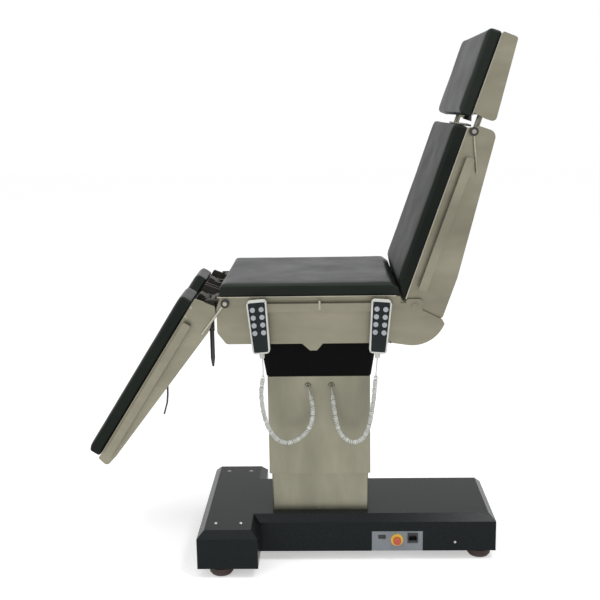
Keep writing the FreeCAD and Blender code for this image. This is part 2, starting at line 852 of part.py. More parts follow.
def tilt_cradle():
    """The cast block that tilts on a cross pin and carries the table top on journals along the table."""
    half_y = cheek_gap / 2 - cradle_side_play
    block = prism("y", [
        (tilt_x - cradle_half_x, cradle_bottom, 14), (tilt_x + cradle_half_x, cradle_bottom, 14),
        (tilt_x + cradle_half_x, cradle_top, 14), (tilt_x - cradle_half_x, cradle_top, 14),
    ], -half_y, half_y)
    reach = cheek_gap / 2 + cheek_thickness + 6
    pin = rod((tilt_x, -reach, tilt_z), (tilt_x, reach, tilt_z), tilt_pin)
    end = hanger_start + hanger_thickness + 5
    journals = rod((tilt_x - end, 0, roll_z), (tilt_x + end, 0, roll_z), journal_radius)
    save("tilt_cradle", join(block, pin, journals))


def seat_frame():
    """Deck, beams and hangers of the seat, with the hinge shaft and the drive of the back."""
    deck_bottom = deck_top - deck_thickness
    deck = box((seat_start + 6, seat_deck_end), (-inner_plate, inner_plate), (deck_bottom, deck_top))
    beams = []
    for side in (-1, 1):
        y = sorted((side * inner_plate, side * (inner_plate - beam_width)))
        beams.append(box((seat_start + 6, seat_deck_end), y, (deck_bottom - beam_height, deck_bottom)))
    beams.append(
        box(
            (seat_start + 6, seat_start + 36), (-inner_plate, inner_plate),
            (deck_bottom - beam_height, deck_bottom),
        ),
    )
    beams.append(
        box(
            (seat_deck_end - 30, seat_deck_end), (-inner_plate, inner_plate),
            (deck_bottom - 34, deck_bottom),
        ),
    )
    for side in (-1, 1):
        x = sorted((tilt_x + side * hanger_start, tilt_x + side * (hanger_start + cross_beam_width)))
        beams.append(box(x, (-inner_plate, inner_plate), (deck_bottom - cross_beam_height, deck_bottom)))
        x = sorted((tilt_x + side * hanger_start, tilt_x + side * (hanger_start + hanger_thickness)))
        beams.append(prism("x", [
            (-hanger_half, deck_bottom), (-hanger_half, roll_z - hanger_below, 20),
            (hanger_half, roll_z - hanger_below, 20),
            (hanger_half, deck_bottom),
        ], *x))
    frame = join(deck, *beams)
    bore = journal_radius + shaft_play
    frame = frame.cut(rod((tilt_x - 200, 0, roll_z), (tilt_x + 200, 0, roll_z), bore))
    for y in leg_rod_rows():
        end = (seat_start + leg_rod_length, y, leg_rod_z)
        frame = frame.cut(rod((seat_start, y, leg_rod_z), end, leg_rod_radius + shaft_play))
    for side in (-1, 1):
        y, z = side * (inner_plate - leg_bar_inset), deck_top - leg_bar_drop
        end = (seat_start + leg_bar_depth, y, z)
        frame = frame.cut(rod((seat_start, y, z), end, leg_bar_radius + shaft_play))
    shaft = rod((back_hinge_x, -inner_plate, hinge_z), (back_hinge_x, inner_plate, hinge_z), hinge_shaft)
    drive = rod((back_hinge_x, -drive_half, hinge_z), (back_hinge_x, drive_half, hinge_z), drive_radius)
    arm = box((seat_deck_end, back_hinge_x - drive_radius + 8), (-60, 60), (hinge_z - 14, hinge_z + 12))
    save("seat_frame", join(frame, shaft, drive, arm))


def leg_rod_rows():
    return [side * (leg_middle + way * leg_rod_spread) for side in (-1, 1) for way in (-1, 1)]


def rail(start, end, middle, inner, standoff):
    """A flat accessory rail on the left side, with the spacers that hold it off its plate."""
    low, high = middle - rail_height / 2, middle + rail_height / 2
    bar = prism(
        "y", [(start, low, 6), (end, low, 6), (end, high, 6), (start, high, 6)], -inner - rail_thickness,
        -inner,
    )
    count = max(2, round((end - start) / spacer_step) + 1)
    step = (end - start - 2 * spacer_inset) / (count - 1)
    places = [start + spacer_inset + i * step for i in range(count)]
    posts = [rod((x, -inner, middle), (x, -inner + standoff, middle), spacer_radius) for x in places]
    return join(bar, *posts)


def seat_side_plates():
    """The two side plates of the seat with their hinge lobes, and the accessory rails."""
    bottom = seat_plate_bottom
    start = seat_plate_start
    eye = back_hinge_x + eye_radius
    notch = back_hinge_x - eye_radius
    corners = [
        (start + seat_plate_lean[0], plate_top, 3), (start, plate_top - seat_plate_lean[1], 20),
        (start, bottom + seat_plate_corner[1], 14), (start + seat_plate_corner[0], bottom, 14),
        (-48, bottom, 4), (-24, bottom - 21.5, 4), (-3, bottom - 21.5, 4), (15, bottom, 4),
        (lobe_start, bottom, 40),
        (lobe_corner[0], bottom + lobe_corner[1], lobe_radius), (lobe_tip[0], bottom + lobe_tip[1], 6),
        (lobe_tip[0] - 7, bottom + 70, 4), (lobe_tip[0] - 68, bottom + 100, 5), (eye - 2, hinge_z, 3),
        (eye, plate_top - 9, 14), (notch, plate_top - 9, 8), (notch, plate_top - 21),
        (248, plate_top - 21, 2),
        (248, plate_top, 2),
    ]
    plate = prism("y", corners, -top_half, -inner_plate)
    seat_rail = rail(seat_rail_start, seat_rail_end, seat_rail_middle, rail_inner, rail_standoff)
    cap = rod((back_hinge_x, -top_half - 3, hinge_z), (back_hinge_x, -top_half, hinge_z), 10)
    side = [plate, seat_rail, cap]
    save("seat_side_plates", *side, *[mirrored(s) for s in side])


def cushion(start, end, start_bevel, end_bevel, y, thickness):
    """A pad with upright sides and bevelled top edges; each bevel is (inwards, down)."""
    low = pad_bottom
    top = low + thickness
    inwards, down = pad_bevel
    along = prism("y", [
        (start, low), (end, low), (end, top - end_bevel[1]), (end - end_bevel[0], top),
        (start + start_bevel[0], top),
        (start, top - start_bevel[1]),
    ], *y)
    across = prism("x", [
        (y[0], low), (y[1], low), (y[1], top - down), (y[1] - inwards, top), (y[0] + inwards, top),
        (y[0], top - down),
    ], start, end)
    return along.common(across)


def seat_cushion():
    save("seat_cushion", cushion(
        seat_pad_start, seat_pad_end, pad_bevel, seat_pad_head_bevel, (-top_half, top_half),
        seat_pad_thickness,
    ))


def clamp_lever(x, z, direction, face):
    """A clamping knob on the left side with its long lever, whose angle is taken below the foot end."""
    rim = -face - clamp_knob_thickness
    knob = rod((x, -face, z), (x, rim, z), clamp_knob)
    boss = rod((x, rim, z), (x, rim - clamp_boss_thickness, z), clamp_boss)
    middle = rim + clamp_knob_thickness / 2
    way = V(-math.cos(math.radians(direction)), 0, -math.sin(math.radians(direction)))
    tip = V(x, middle, z) + way * clamp_lever_length
    arm = rod((x, middle, z), tuple(tip), clamp_lever_radius)
    end = tip + way * 3
    return join(knob, boss, arm, cone(tuple(tip), tuple(end), clamp_lever_radius, clamp_lever_radius - 2))


def back_frame():
    """Side plates, deck, beams, hinge eyes and rails of the back section."""
    start = back_plane_start
    top = pad_bottom - pad_play
    outer = inner_plate - back_plate_gap
    end = start + back_plate_end
    corners = [
        (start - 8, top), (end - back_plate_end_cut[0], top, 3), (end, top - back_plate_end_cut[1], 14),
        (end, top - back_plate_end_depth, 22), (start + back_taper_start, top - back_plate_depth),
        (start + back_plate_start, top - back_plate_depth, 12), (back_hinge_x - eye_radius, hinge_z, 20),
        (back_hinge_x - 8, hinge_z + eye_radius, 12),
    ]
    plate = prism("y", corners, -outer, -outer + side_plate)
    inner = outer - side_plate
    deck_bottom = deck_top - deck_thickness
    deck_end = end - back_plate_end_cut[0] - 1
    deck = box((start + 20, deck_end), (-inner, inner), (deck_bottom, deck_top))
    half = beam_width / 2
    beams = [
        box(
            (start + s - half, start + s + half), (-inner, inner),
            (deck_bottom - back_beam_depth, deck_bottom),
        )
        for s in back_beams
    ]
    eyes = []
    for side in (-1, 1):
        y = sorted((side * eye_place, side * (eye_place + eye_thickness)))
        eyes.append(rod((back_hinge_x, y[0], hinge_z), (back_hinge_x, y[1], hinge_z), eye_radius))
        eyes.append(box((back_hinge_x, start + back_beams[0]), y, (hinge_z - 14, hinge_z + 14)))
    frame = join(plate, mirrored(plate), deck, *beams, *eyes)
    frame = frame.cut(
        rod((back_hinge_x, -top_half, hinge_z), (back_hinge_x, top_half, hinge_z), hinge_shaft + shaft_play),
    )
    level = pad_bottom - head_hinge_drop
    around = head_rod_radius + socket_wall
    for side in (-1, 1):
        y = side * head_rod_y
        block = box(
            (start + back_beams[-1] - half, deck_end), sorted((y - side * around, side * inner)),
            (level - around, deck_bottom),
        )
        frame = join(frame, block)
        bore = head_rod_radius + shaft_play
        frame = frame.cut(rod((start + head_rod_start - socket_depth, y, level), (end + 30, y, level), bore))
    back_rail = rail(
        start + back_rail_start, start + back_rail_end, pad_bottom + back_rail_middle, rail_inner,
        rail_inner - outer,
    )
    solids = [frame, back_rail, mirrored(back_rail)]
    save("back_frame", *[raised_back(s) for s in solids])


def back_cushion():
    pad = cushion(
        back_plane_start + back_pad_tip, back_plane_start + back_pad_end,
        (back_pad_face - back_pad_tip, pad_thickness - back_pad_tip_side), pad_bevel,
        (-top_half, top_half), pad_thickness,
    )
    save("back_cushion", raised_back(pad))


def head_section():
    """The plug-in rods with their cross bar, the tilting head frame, and its pad."""
    start = back_plane_start
    hinge_x, level = start + head_hinge, pad_bottom - head_hinge_drop
    rods = [
        rod(
            (start + head_rod_start, side * head_rod_y, level), (hinge_x, side * head_rod_y, level),
            head_rod_radius,
        )
        for side in (-1, 1)
    ]
    bar_end = head_rod_y + head_bar_overhang
    bar = rod((hinge_x, -bar_end, level), (hinge_x, bar_end, level), head_bar / 2)
    knob_start = hinge_x - head_bar / 2 + 3
    knob = cone((knob_start, 0, level), (knob_start - head_knob_length, 0, level), *head_knob_radii)
    mount = join(bar, knob, *rods)
    mount = mount.cut(rod((hinge_x, -top_half, level), (hinge_x, top_half, level), head_pin + shaft_play))
    save("head_mount", raised_back(mount))
    top = pad_bottom - pad_play
    low_end, high_end = start + head_plate_start, start + head_plate_end
    corners = [
        (low_end + 6, top, 3), (low_end, top - head_plate_depth * 0.55, 20),
        (low_end, top - head_plate_depth, 13),
        (high_end - 2, top - head_plate_end_depth, 8), (high_end, top, 6),
    ]
    plate = prism("y", corners, -top_half, -inner_plate)
    deck_bottom = deck_top - deck_thickness
    deck_start = start + head_deck_start
    deck = box((deck_start, high_end - 6), (-inner_plate, inner_plate), (deck_bottom, deck_top))
    beam_end = high_end - head_beam_inset + head_beam_size[0] / 2
    beam = box(
        (beam_end - head_beam_size[0], beam_end), (-inner_plate, inner_plate),
        (deck_bottom - head_beam_size[1], deck_bottom),
    )
    lugs = []
    for side in (-1, 1):
        y = sorted((side * head_lug_place, side * (head_lug_place + head_lug)))
        lugs.append(box((deck_start, deck_start + head_lug_length), y, (level - 10, deck_bottom)))
    pin = rod((hinge_x, -inner_plate, level), (hinge_x, inner_plate, level), head_pin)
    save("head_frame", raised_back(join(plate, mirrored(plate), deck, beam, pin, *lugs)))
    pad = cushion(
        start + head_pad_start, start + head_pad_end, pad_bevel, pad_bevel, (-top_half, top_half),
        pad_thickness,
    )
    save("head_cushion", raised_back(pad))
    x, z = on_back(clamp_along, clamp_below)
    lever = clamp_lever(x, z, head_clamp_angle, inner_plate - back_plate_gap)
    save("head_clamp_lever_left", lever)
    save("head_clamp_lever_right", mirrored(lever))


def leg_bracket():
    """The plug-in bracket of the left leg: two rods, a cross block and two hinge ears."""
    rods = [
        rod((seat_start + leg_rod_length, -leg_middle + way * leg_rod_spread, leg_rod_z),
            (seat_start - leg_rod_overhang, -leg_middle + way * leg_rod_spread, leg_rod_z), leg_rod_radius)
        for way in (-1, 1)
    ]
    half = leg_rod_spread + 12
    block = box(
        (seat_start - 24, seat_start - 12), (-leg_middle - half, -leg_middle + half),
        (leg_rod_z - 14, leg_rod_z + 11),
    )
    ears = []
    for way in (-1, 1):
        inner = leg_lug_half + 1
        y = sorted((-leg_middle + way * inner, -leg_middle + way * (inner + leg_ear)))
        ears.append(rod((leg_hinge_x, y[0], hinge_z), (leg_hinge_x, y[1], hinge_z), 15))
        ears.append(box((leg_hinge_x, seat_start - 12), y, (hinge_z - 11, hinge_z + 11)))
    x, y = lock_handle_x, -lock_handle_y
    bridge = lock_handle_pivot + clevis_clear
    post = rod((x, y, bridge), (x, y, leg_rod_z), 5)
    saddle = box(
        (seat_start - 36, seat_start - 12), (y - 9, -leg_middle - half + 6), (leg_rod_z - 14, leg_rod_z + 4),
    )
    clevis = [box((x - 7, x + 7), (y - 9 - clevis_thickness, y + 9 + clevis_thickness), (bridge, bridge + 4))]
    for way in (-1, 1):
        ear = sorted((y + way * 9, y + way * (9 + clevis_thickness)))
        clevis.append(box((x - 7, x + 7), ear, (lock_handle_pivot, bridge + 4)))
        clevis.append(rod((x, ear[0], lock_handle_pivot), (x, ear[1], lock_handle_pivot), 7))
    clevis.append(rod((x, y - 13, lock_handle_pivot), (x, y + 13, lock_handle_pivot), lock_handle_pin))
    bar_y, bar_z = -inner_plate + leg_bar_inset, deck_top - leg_bar_drop
    bar = rod(
        (seat_start + leg_bar_depth, bar_y, bar_z), (seat_start - leg_bar_reach, bar_y, bar_z),
        leg_bar_radius,
    )
    link = box(
        (seat_start - 24, seat_start - 12), (bar_y - 4, -leg_middle - half + 1), (leg_rod_z - 6, bar_z + 4),
    )
    bracket = join(block, *rods, *ears, saddle, post, bar, link, *clevis)
    return bracket.cut(
        rod((leg_hinge_x, -top_half, hinge_z), (leg_hinge_x, 0, hinge_z), leg_pin + shaft_play),
    )


def leg_frame():
    """Side plates, deck, beams, hinge lug and rail of the left leg section, lying flat."""
    start = leg_plane_start
    top = pad_bottom - pad_play
    corners = [
        (start - 4, top, 4), *[(start + along, top + below, radius) for along, below, radius in leg_nose],
        (start - 70, top - leg_plate_depth, 12),
        (start - leg_plate_end + leg_heel[0], top - leg_foot_depth - leg_heel[1], 20),
        (start - leg_plate_end, top - leg_foot_depth, 12),
        (start - leg_plate_end + 8, top, 6),
    ]
    plates = [
        prism("y", corners, -top_half, -top_half + side_plate),
        prism("y", corners, -leg_gap - side_plate, -leg_gap),
    ]
    across = (-top_half + side_plate, -leg_gap - side_plate)
    deck = box((start - leg_plate_end + 14, start - 34), across, (deck_top - deck_thickness, deck_top))
    beams = [
        box(
            (start - s - 12, start - s + 12), across,
            (deck_top - deck_thickness - 24, deck_top - deck_thickness),
        )
        for s in leg_beams
    ]
    lug = prism("y", [
        (start - 60, deck_top - deck_thickness), (start - 60, hinge_z - 8, 4),
        (leg_hinge_x - 4, hinge_z - 14, 10),
        (leg_hinge_x + 14, hinge_z - 8, 10), (leg_hinge_x + 14, deck_top - 4, 4), (start - 34, deck_top - 4),
    ], -leg_middle - leg_lug_half, -leg_middle + leg_lug_half)
    pin = rod((leg_hinge_x, -leg_middle - 40, hinge_z), (leg_hinge_x, -leg_middle + 40, hinge_z), leg_pin)
    frame = join(*plates, deck, *beams, lug, pin)
    side_rail = rail(
        start - leg_rail_end, start - leg_rail_start, pad_bottom + leg_rail_middle, rail_inner, rail_standoff,
    )
    return [frame, side_rail]


def leg_sections():
    """Both leg sections with their brackets, pads, clamps and handles."""
    bracket = leg_bracket()
    flat_frame = leg_frame()
    start = leg_plane_start
    pad = cushion(
        start - leg_pad_end, start - leg_pad_start, pad_bevel, pad_bevel, (-top_half, -leg_gap),
        pad_thickness,
    )
    # The inner corner at the seat is cut away
    along, across = leg_pad_cut
    tip = start - leg_pad_start
    pad = pad.cut(prism("z", [
        (tip - along, -leg_gap + 1), (tip + 1, -leg_gap - across), (tip + 20, -leg_gap - across),
        (tip + 20, -leg_gap + 1),
    ], pad_bottom - 1, pad_bottom + pad_thickness + 1))
    lever = clamp_lever(leg_clamp_place[0], plate_top - leg_clamp_place[1], leg_clamp_angle, top_half)
    pieces = {
        "leg_bracket": [bracket], "leg_frame": [lowered_leg(s) for s in flat_frame],
        "leg_cushion": [lowered_leg(pad)], "leg_clamp_lever": [lever], "leg_lock_handle": [lock_handle()],
    }
    for name, solids in pieces.items():
        save(name + "_right", *[mirrored(s) for s in solids])
    ears, pin = release_ears()
    frame = pieces["leg_frame"]
    frame[0] = join(frame[0], *ears, pin)
    for name, solids in pieces.items():
        save(name + "_left", *solids)
    save("leg_release_lever", release_lever())


def lock_handle():
    """The round handle that hangs under the leg's bracket, with its collar."""
    x, y, top = lock_handle_x, -lock_handle_y, lock_handle_top
    collar = rod((x, y, top - 24), (x, y, top), 8.5)
    grip = rod((x, y, top - 112), (x, y, top - 24), 6.8)
    end = cone((x, y, top - 112), (x, y, top - 138), 6.8, 3.0)
    handle = join(collar, grip, end)
    pivot = lock_handle_pivot
    return handle.cut(rod((x, y - 20, pivot), (x, y + 20, pivot), lock_handle_pin + shaft_play))


def release_lever():
    """The thin bent lever under the left leg section, drawn where it hangs from its ears."""
    x, z = release_pivot
    y = -release_lever_y
    half = release_width / 2
    rim = [(x + dx + half, z + dz, 20) for dx, dz in release_bend]
    other = [(x + dx - half, z + dz, 20) for dx, dz in reversed(release_bend)]
    rim[-1] = (*rim[-1][:2], 2)
    other[0] = (*other[0][:2], 2)
    top = z - release_eye / 2
    arm = prism(
        "y", [(x + half, top), *rim, *other, (x - half, top)], y - release_eye_half, y + release_eye_half,
    )
    eye = rod((x, y - release_eye_half, z), (x, y + release_eye_half, z), release_eye)
    return join(arm, eye).cut(rod((x, y - 10, z), (x, y + 10, z), release_pin + shaft_play))


def release_ears():
    """The ears under the leg's middle beam that carry the release lever, where they hang."""
    x, z = release_pivot
    inner = release_eye_half + 0.5
    ears = []
    for way in (-1, 1):
        y = sorted((-release_lever_y + way * inner, -release_lever_y + way * (inner + release_ear)))
        ears.append(rod((x, y[0], z), (x, y[1], z), release_eye))
        ears.append(prism("y", [(x - 6, z - 4), (x + 6, z - 2), (x - 12, z + 18), (x - 36, z - 4)], *y))
    pin = rod((x, ears_low(), z), (x, ears_low() + 2 * (inner + release_ear), z), release_pin)
    return ears, pin


def ears_low():
    return -release_lever_y - release_eye_half - 0.5 - release_ear


def handset_shape(top_place, lean):
    """One handset drawn upright, its keys apart, and the function that hangs it on the rail."""
    x, z = top_place
    front = -handset_back - handset_thickness
    half, foot = handset_top_width / 2, handset_foot_width / 2
    corners = [
        (x - half, z, handset_corner), (x + half, z, handset_corner),
        (x + foot, z - handset_length, handset_corner), (x - foot, z - handset_length, handset_corner),
    ]
    shell = prism("y", corners, front, -handset_back)
    inset = handset_face_inset
    round_off = handset_face_corner
    low = z - handset_length + inset
    face_corners = [
        (x - half + inset, z - inset, round_off), (x + half - inset, z - inset, round_off),
        (x + foot - inset, low, round_off), (x - foot + inset, low, round_off),
    ]
    face = prism("y", face_corners, front, front + handset_face_depth)
    shell = shell.cut(face)
    keys = []
    for row in range(key_rows):
        for side in (-1, 1):
            kx, kz = x + side * key_column, z - key_first_row - row * key_row
            hole = rod((kx, front - 1, kz), (kx, front + key_depth + 1.2, kz), key_radius + key_clearance)
            shell = shell.cut(hole)
            face = face.cut(hole)
            keys.append(rod((kx, front - key_height, kz), (kx, front + key_depth, kz), key_radius))
    middle = -handset_back - handset_thickness / 2
    relief = cone(
        (x, middle, z - handset_length), (x, middle, z - handset_length - relief_length), relief_radius + 2,
        relief_radius,
    )

    def hang(shape):
        return turned(shape, x, z, -lean)

    width = (x - hook_width / 2, x + hook_width / 2)
    over = seat_rail_top + hook_clearance
    behind = -rail_inner + hook_clearance
    hook = box(width, (-handset_back, behind + hook_thickness), (over, over + hook_thickness))
    leg = box(width, (behind, behind + hook_thickness), (over - hook_reach, over + hook_thickness))
    plate = box(
        width, (-handset_back, -handset_back + hook_plate),
        (over - hook_plate_height, over + hook_thickness),
    )
    body = join(hang(join(shell, relief)), join(hook, leg, plate))
    ends = [
        hang(Part.Vertex(x, middle, z - handset_length - relief_length - way)).Point for way in (
            cord_straight_end, 0,
        )
    ]
    return body, hang(face), [hang(k) for k in keys], ends


def tube(points, radius):
    """A round cord: straight runs joined by arcs that touch them."""
    edges = []
    here = points[0]
    radii = []
    for before, corner, after in zip(points, points[1:], points[2:]):
        back, on = before - corner, after - corner
        shorter = min(back.Length, on.Length)
        half = back.getAngle(on) / 2
        reach = 0.45 * shorter
        back.normalize()
        on.normalize()
        bend = reach * math.tan(half)
        radii.append(round(bend))
        middle = back + on
        middle.normalize()
        start, end = corner + back * reach, corner + on * reach
        near = corner + middle * (bend / math.sin(half) - bend)
        edges.append(Part.LineSegment(here, start).toShape())
        edges.append(Part.Arc(start, near, end).toShape())
        here = end
    edges.append(Part.LineSegment(here, points[-1]).toShape())
    path = Part.Wire(edges)
    first = points[1] - points[0]
    section = Part.Wire([Part.Circle(points[0], first, radius).toShape()])
    solid = path.makePipeShell([section], True, False)
    ratio = solid.Volume / (math.pi * radius ** 2 * path.Length)
    print("cord: length", round(path.Length), "volume ratio", round(ratio, 3), "radii", radii)
    return solid


def handsets():
    """Both handsets on the near rail, their keys, and their curly cords as the coils' outer shape."""
    sets = (
        ("foot_handset", foot_handset_top, foot_handset_lean, foot_outlet_x, foot_cord_route),
        ("head_handset", head_handset_top, head_handset_lean, head_outlet_x, head_cord_route),
    )
    for name, top_place, lean, outlet_x, route in sets:
        place = (top_place[0], seat_rail_top + top_place[1])
        body, face, keys, ends = handset_shape(place, lean)
        save(name, body, face)
        for number, key in enumerate(keys, 1):
            save(name + "_key_" + str(number), key)
        start = V(outlet_x, -upper_cover_half_y - gland_length, outlet_z)
        points = [start] + [V(*p) for p in route] + ends
        save(name + "_cord", tube(points, cord_radius))
        print(name, "ends", [[round(v, 1) for v in end] for end in ends])


base_cover()
base_frame()
lock_feet()
wheels()
control_panel()
power_pack()
column()
tilt_cradle()
seat_frame()
seat_side_plates()
seat_cushion()
back_frame()
back_cushion()
head_section()
leg_sections()
handsets()
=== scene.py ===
# %% [markdown]
# # An operating table, dressed for its portrait
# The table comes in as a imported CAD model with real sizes. This lesson adds what a drawing office leaves out:
# padded cushions, curly handset cords, screws and caps, and a finish for every metal, paint and plastic.
# Everything is in metres, with +Z up and +X towards the head end, so each piece goes straight to its place.

# %% The tools, and the table as it was packed
import math

import bmesh
import bpy
from mathutils import Matrix, Vector


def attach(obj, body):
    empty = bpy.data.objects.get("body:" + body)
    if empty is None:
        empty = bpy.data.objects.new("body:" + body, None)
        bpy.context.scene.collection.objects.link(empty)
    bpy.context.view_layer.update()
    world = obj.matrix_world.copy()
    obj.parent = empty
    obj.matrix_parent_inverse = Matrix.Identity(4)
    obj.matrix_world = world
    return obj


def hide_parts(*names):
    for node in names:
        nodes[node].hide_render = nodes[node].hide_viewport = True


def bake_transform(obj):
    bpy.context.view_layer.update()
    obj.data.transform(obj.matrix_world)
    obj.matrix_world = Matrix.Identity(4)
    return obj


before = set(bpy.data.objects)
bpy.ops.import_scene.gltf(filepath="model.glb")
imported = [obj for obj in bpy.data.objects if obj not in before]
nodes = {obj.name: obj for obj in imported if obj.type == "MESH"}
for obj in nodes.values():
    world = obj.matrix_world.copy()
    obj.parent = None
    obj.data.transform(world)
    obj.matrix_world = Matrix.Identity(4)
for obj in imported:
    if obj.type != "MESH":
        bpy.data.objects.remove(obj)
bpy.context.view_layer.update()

# %% [markdown]
# ## The camera
# The photograph was taken from the patient's left, a little above the seat, with a longish lens. The camera's
# place comes from matching the base's corners, the column and the cushions with straight lines in the picture.

# %% The camera at the photograph's place
camera_data = bpy.data.cameras.new("camera")
camera_data.sensor_width = 36.0
camera_data.lens = 57.68
camera = bpy.data.objects.new("camera", camera_data)
bpy.context.scene.collection.objects.link(camera)
camera_yaw, camera_pitch, camera_roll = math.radians(1.59), math.radians(11.38), math.radians(-0.95)
camera.matrix_world = (
    Matrix.Translation((0.0263, -3.0901, 1.4600))
    @ Matrix.Rotation(camera_yaw, 4, "Z")
    @ Matrix.Rotation(math.pi / 2 - camera_pitch, 4, "X")
    @ Matrix.Rotation(camera_roll, 4, "Z")
)
bpy.context.scene.camera = camera
print("The camera is", round(camera.location.length, 2), "m from the column's foot.")

# %% [markdown]
# ## The studio
# A pale floor meets a pale world, so the table stands free on white with only its own soft shadow. The lamps are
# large, as in a product photograph, and set so that a colour renders about as it was chosen. The whiteness of the
# background comes from what the camera sees of the floor and the world, and not from more light on the table.

# %% Helpers for material trees
def tree_of(material):
    """A material's empty node tree."""
    material.use_nodes = True
    material.node_tree.nodes.clear()
    return material.node_tree


def add(tree, kind, **settings):
    """A node of one kind, with its settings, or its sockets' values where the name is a socket's."""
    node = tree.nodes.new(kind)
    for name, value in settings.items():
        label = name.replace("_", " ")
        if label in node.inputs:
            node.inputs[label].default_value = value
        else:
            setattr(node, name, value)
    return node


# %% The world and the floor
world = bpy.data.worlds.new("studio")
bpy.context.scene.world = world
world.use_nodes = True
sky = world.node_tree
sky.nodes.clear()


def where_seen(tree):
    """1 for what the camera sees, straight or in a reflection or through glass, and 0 for light on the table."""
    path = add(tree, "ShaderNodeLightPath")
    first = add(tree, "ShaderNodeMath", operation="MAXIMUM")
    second = add(tree, "ShaderNodeMath", operation="MAXIMUM")
    tree.links.new(path.outputs["Is Camera Ray"], first.inputs[0])
    tree.links.new(path.outputs["Is Transmission Ray"], first.inputs[1])
    tree.links.new(first.outputs[0], second.inputs[0])
    tree.links.new(path.outputs["Is Glossy Ray"], second.inputs[1])
    return second.outputs[0]


dim = add(sky, "ShaderNodeBackground", Color=(1.0, 1.0, 1.0, 1.0), Strength=0.62)
white = add(sky, "ShaderNodeBackground", Color=(1.0, 1.0, 1.0, 1.0), Strength=1.0)
choose = add(sky, "ShaderNodeMixShader")
sky.links.new(where_seen(sky), choose.inputs[0])
sky.links.new(dim.outputs[0], choose.inputs[1])
sky.links.new(white.outputs[0], choose.inputs[2])
sky.links.new(choose.outputs[0], add(sky, "ShaderNodeOutputWorld").inputs[0])

bpy.ops.object.select_all(action="DESELECT")
bpy.ops.mesh.primitive_plane_add(size=40.0, location=(0.0, 0.0, 0.0))
floor = bpy.context.object
floor.name = "studio_floor"
floor_paint = bpy.data.materials.new("pale_floor")
tree = tree_of(floor_paint)
diffuse = add(tree, "ShaderNodeBsdfDiffuse", Color=(0.86, 0.86, 0.86, 1.0))
glow = add(tree, "ShaderNodeEmission", Color=(1.0, 1.0, 1.0, 1.0), Strength=0.46)
both = add(tree, "ShaderNodeAddShader")
by_ray = add(tree, "ShaderNodeMixShader")
tree.links.new(diffuse.outputs[0], both.inputs[0])
tree.links.new(glow.outputs[0], both.inputs[1])
tree.links.new(where_seen(tree), by_ray.inputs[0])
tree.links.new(diffuse.outputs[0], by_ray.inputs[1])
tree.links.new(both.outputs[0], by_ray.inputs[2])
tree.links.new(by_ray.outputs[0], add(tree, "ShaderNodeOutputMaterial").inputs[0])
floor.data.materials.append(floor_paint)
bpy.context.scene.view_settings.view_transform = "Standard"
print("The floor is", round(floor.dimensions.x), "m across.")


# %% The lamps
def lamp(name, place, target, size, watts):
    """A large soft lamp that faces a point."""
    data = bpy.data.lights.new(name, "AREA")
    data.size = size
    data.energy = watts
    light = bpy.data.objects.new(name, data)
    bpy.context.scene.collection.objects.link(light)
    light.location = place
    light.rotation_euler = (Vector(target) - Vector(place)).to_track_quat("-Z", "Y").to_euler()
    return light


lamp("overhead_left", (-0.6, -0.5, 3.6), (0.0, 0.0, 0.8), 2.2, 34.0)
lamp("overhead_right", (1.35, -1.65, 3.4), (0.4, -0.1, 0.2), 0.7, 36.0)
lamp("front_left", (-2.4, -2.8, 2.2), (0.0, 0.0, 0.8), 1.8, 26.0)
print("There are", len(bpy.data.lights), "lamps.")

# %% [markdown]
# ## Finishes
# A real finish is never one flat colour. Each one here starts from the plain shader, and adds what that surface
# shows up close: the brushing of sheet steel, the fine grain of a coated fabric, the pimples of textured paint, a
# broad haze of lighter and darker tone. All patterns are read from object coordinates, so they have their real size
# on every piece.


# %% A plain shader, and noise to work it with
def finish_of(name, colour, roughness, metallic=0.0, **sockets):
    """A new material with one shader, and the parts that its patterns plug into."""
    material = bpy.data.materials.new(name)
    tree = tree_of(material)
    shader = add(tree, "ShaderNodeBsdfPrincipled")
    shader.inputs["Base Color"].default_value = (*colour, 1.0)
    shader.inputs["Roughness"].default_value = roughness
    shader.inputs["Metallic"].default_value = metallic
    for socket, value in sockets.items():
        shader.inputs[socket.replace("_", " ")].default_value = value
    output = add(tree, "ShaderNodeOutputMaterial")
    tree.links.new(shader.outputs[0], output.inputs[0])
    place = add(tree, "ShaderNodeTexCoord")
    return material, tree, shader, place


def noise(tree, place, scale, stretch=(1.0, 1.0, 1.0), detail=3.0):
    """Noise of so many features per metre, stretched along an axis where that axis has a small factor."""
    mapping = add(tree, "ShaderNodeMapping")
    mapping.inputs["Scale"].default_value = stretch
    tree.links.new(place.outputs["Object"], mapping.inputs["Vector"])
    texture = add(tree, "ShaderNodeTexNoise", Scale=scale, Detail=detail, Roughness=0.55)
    tree.links.new(mapping.outputs[0], texture.inputs["Vector"])
    return texture.outputs[0]


def spread(tree, value, low, high):
    """A pattern's values laid between two numbers."""
    node = add(tree, "ShaderNodeMapRange")
    node.inputs["From Min"].default_value = 0.3
    node.inputs["From Max"].default_value = 0.7
    node.inputs["To Min"].default_value = low
    node.inputs["To Max"].default_value = high
    tree.links.new(value, node.inputs["Value"])
    return node.outputs[0]


def tint(tree, value, dark, light):
    """A pattern's values turned into a colour between two."""
    ramp = add(tree, "ShaderNodeValToRGB")
    ramp.color_ramp.elements[0].position = 0.3
    ramp.color_ramp.elements[0].color = (*dark, 1.0)
    ramp.color_ramp.elements[1].position = 0.7
    ramp.color_ramp.elements[1].color = (*light, 1.0)
    tree.links.new(value, ramp.inputs[0])
    return ramp.outputs[0]


def raise_surface(tree, shader, height, depth, strength=1.0):
    """The small hills and valleys of a surface, at most so many metres deep."""
    bump = add(tree, "ShaderNodeBump", Strength=strength, Distance=depth)
    tree.links.new(height, bump.inputs["Height"])
    tree.links.new(bump.outputs[0], shader.inputs["Normal"])


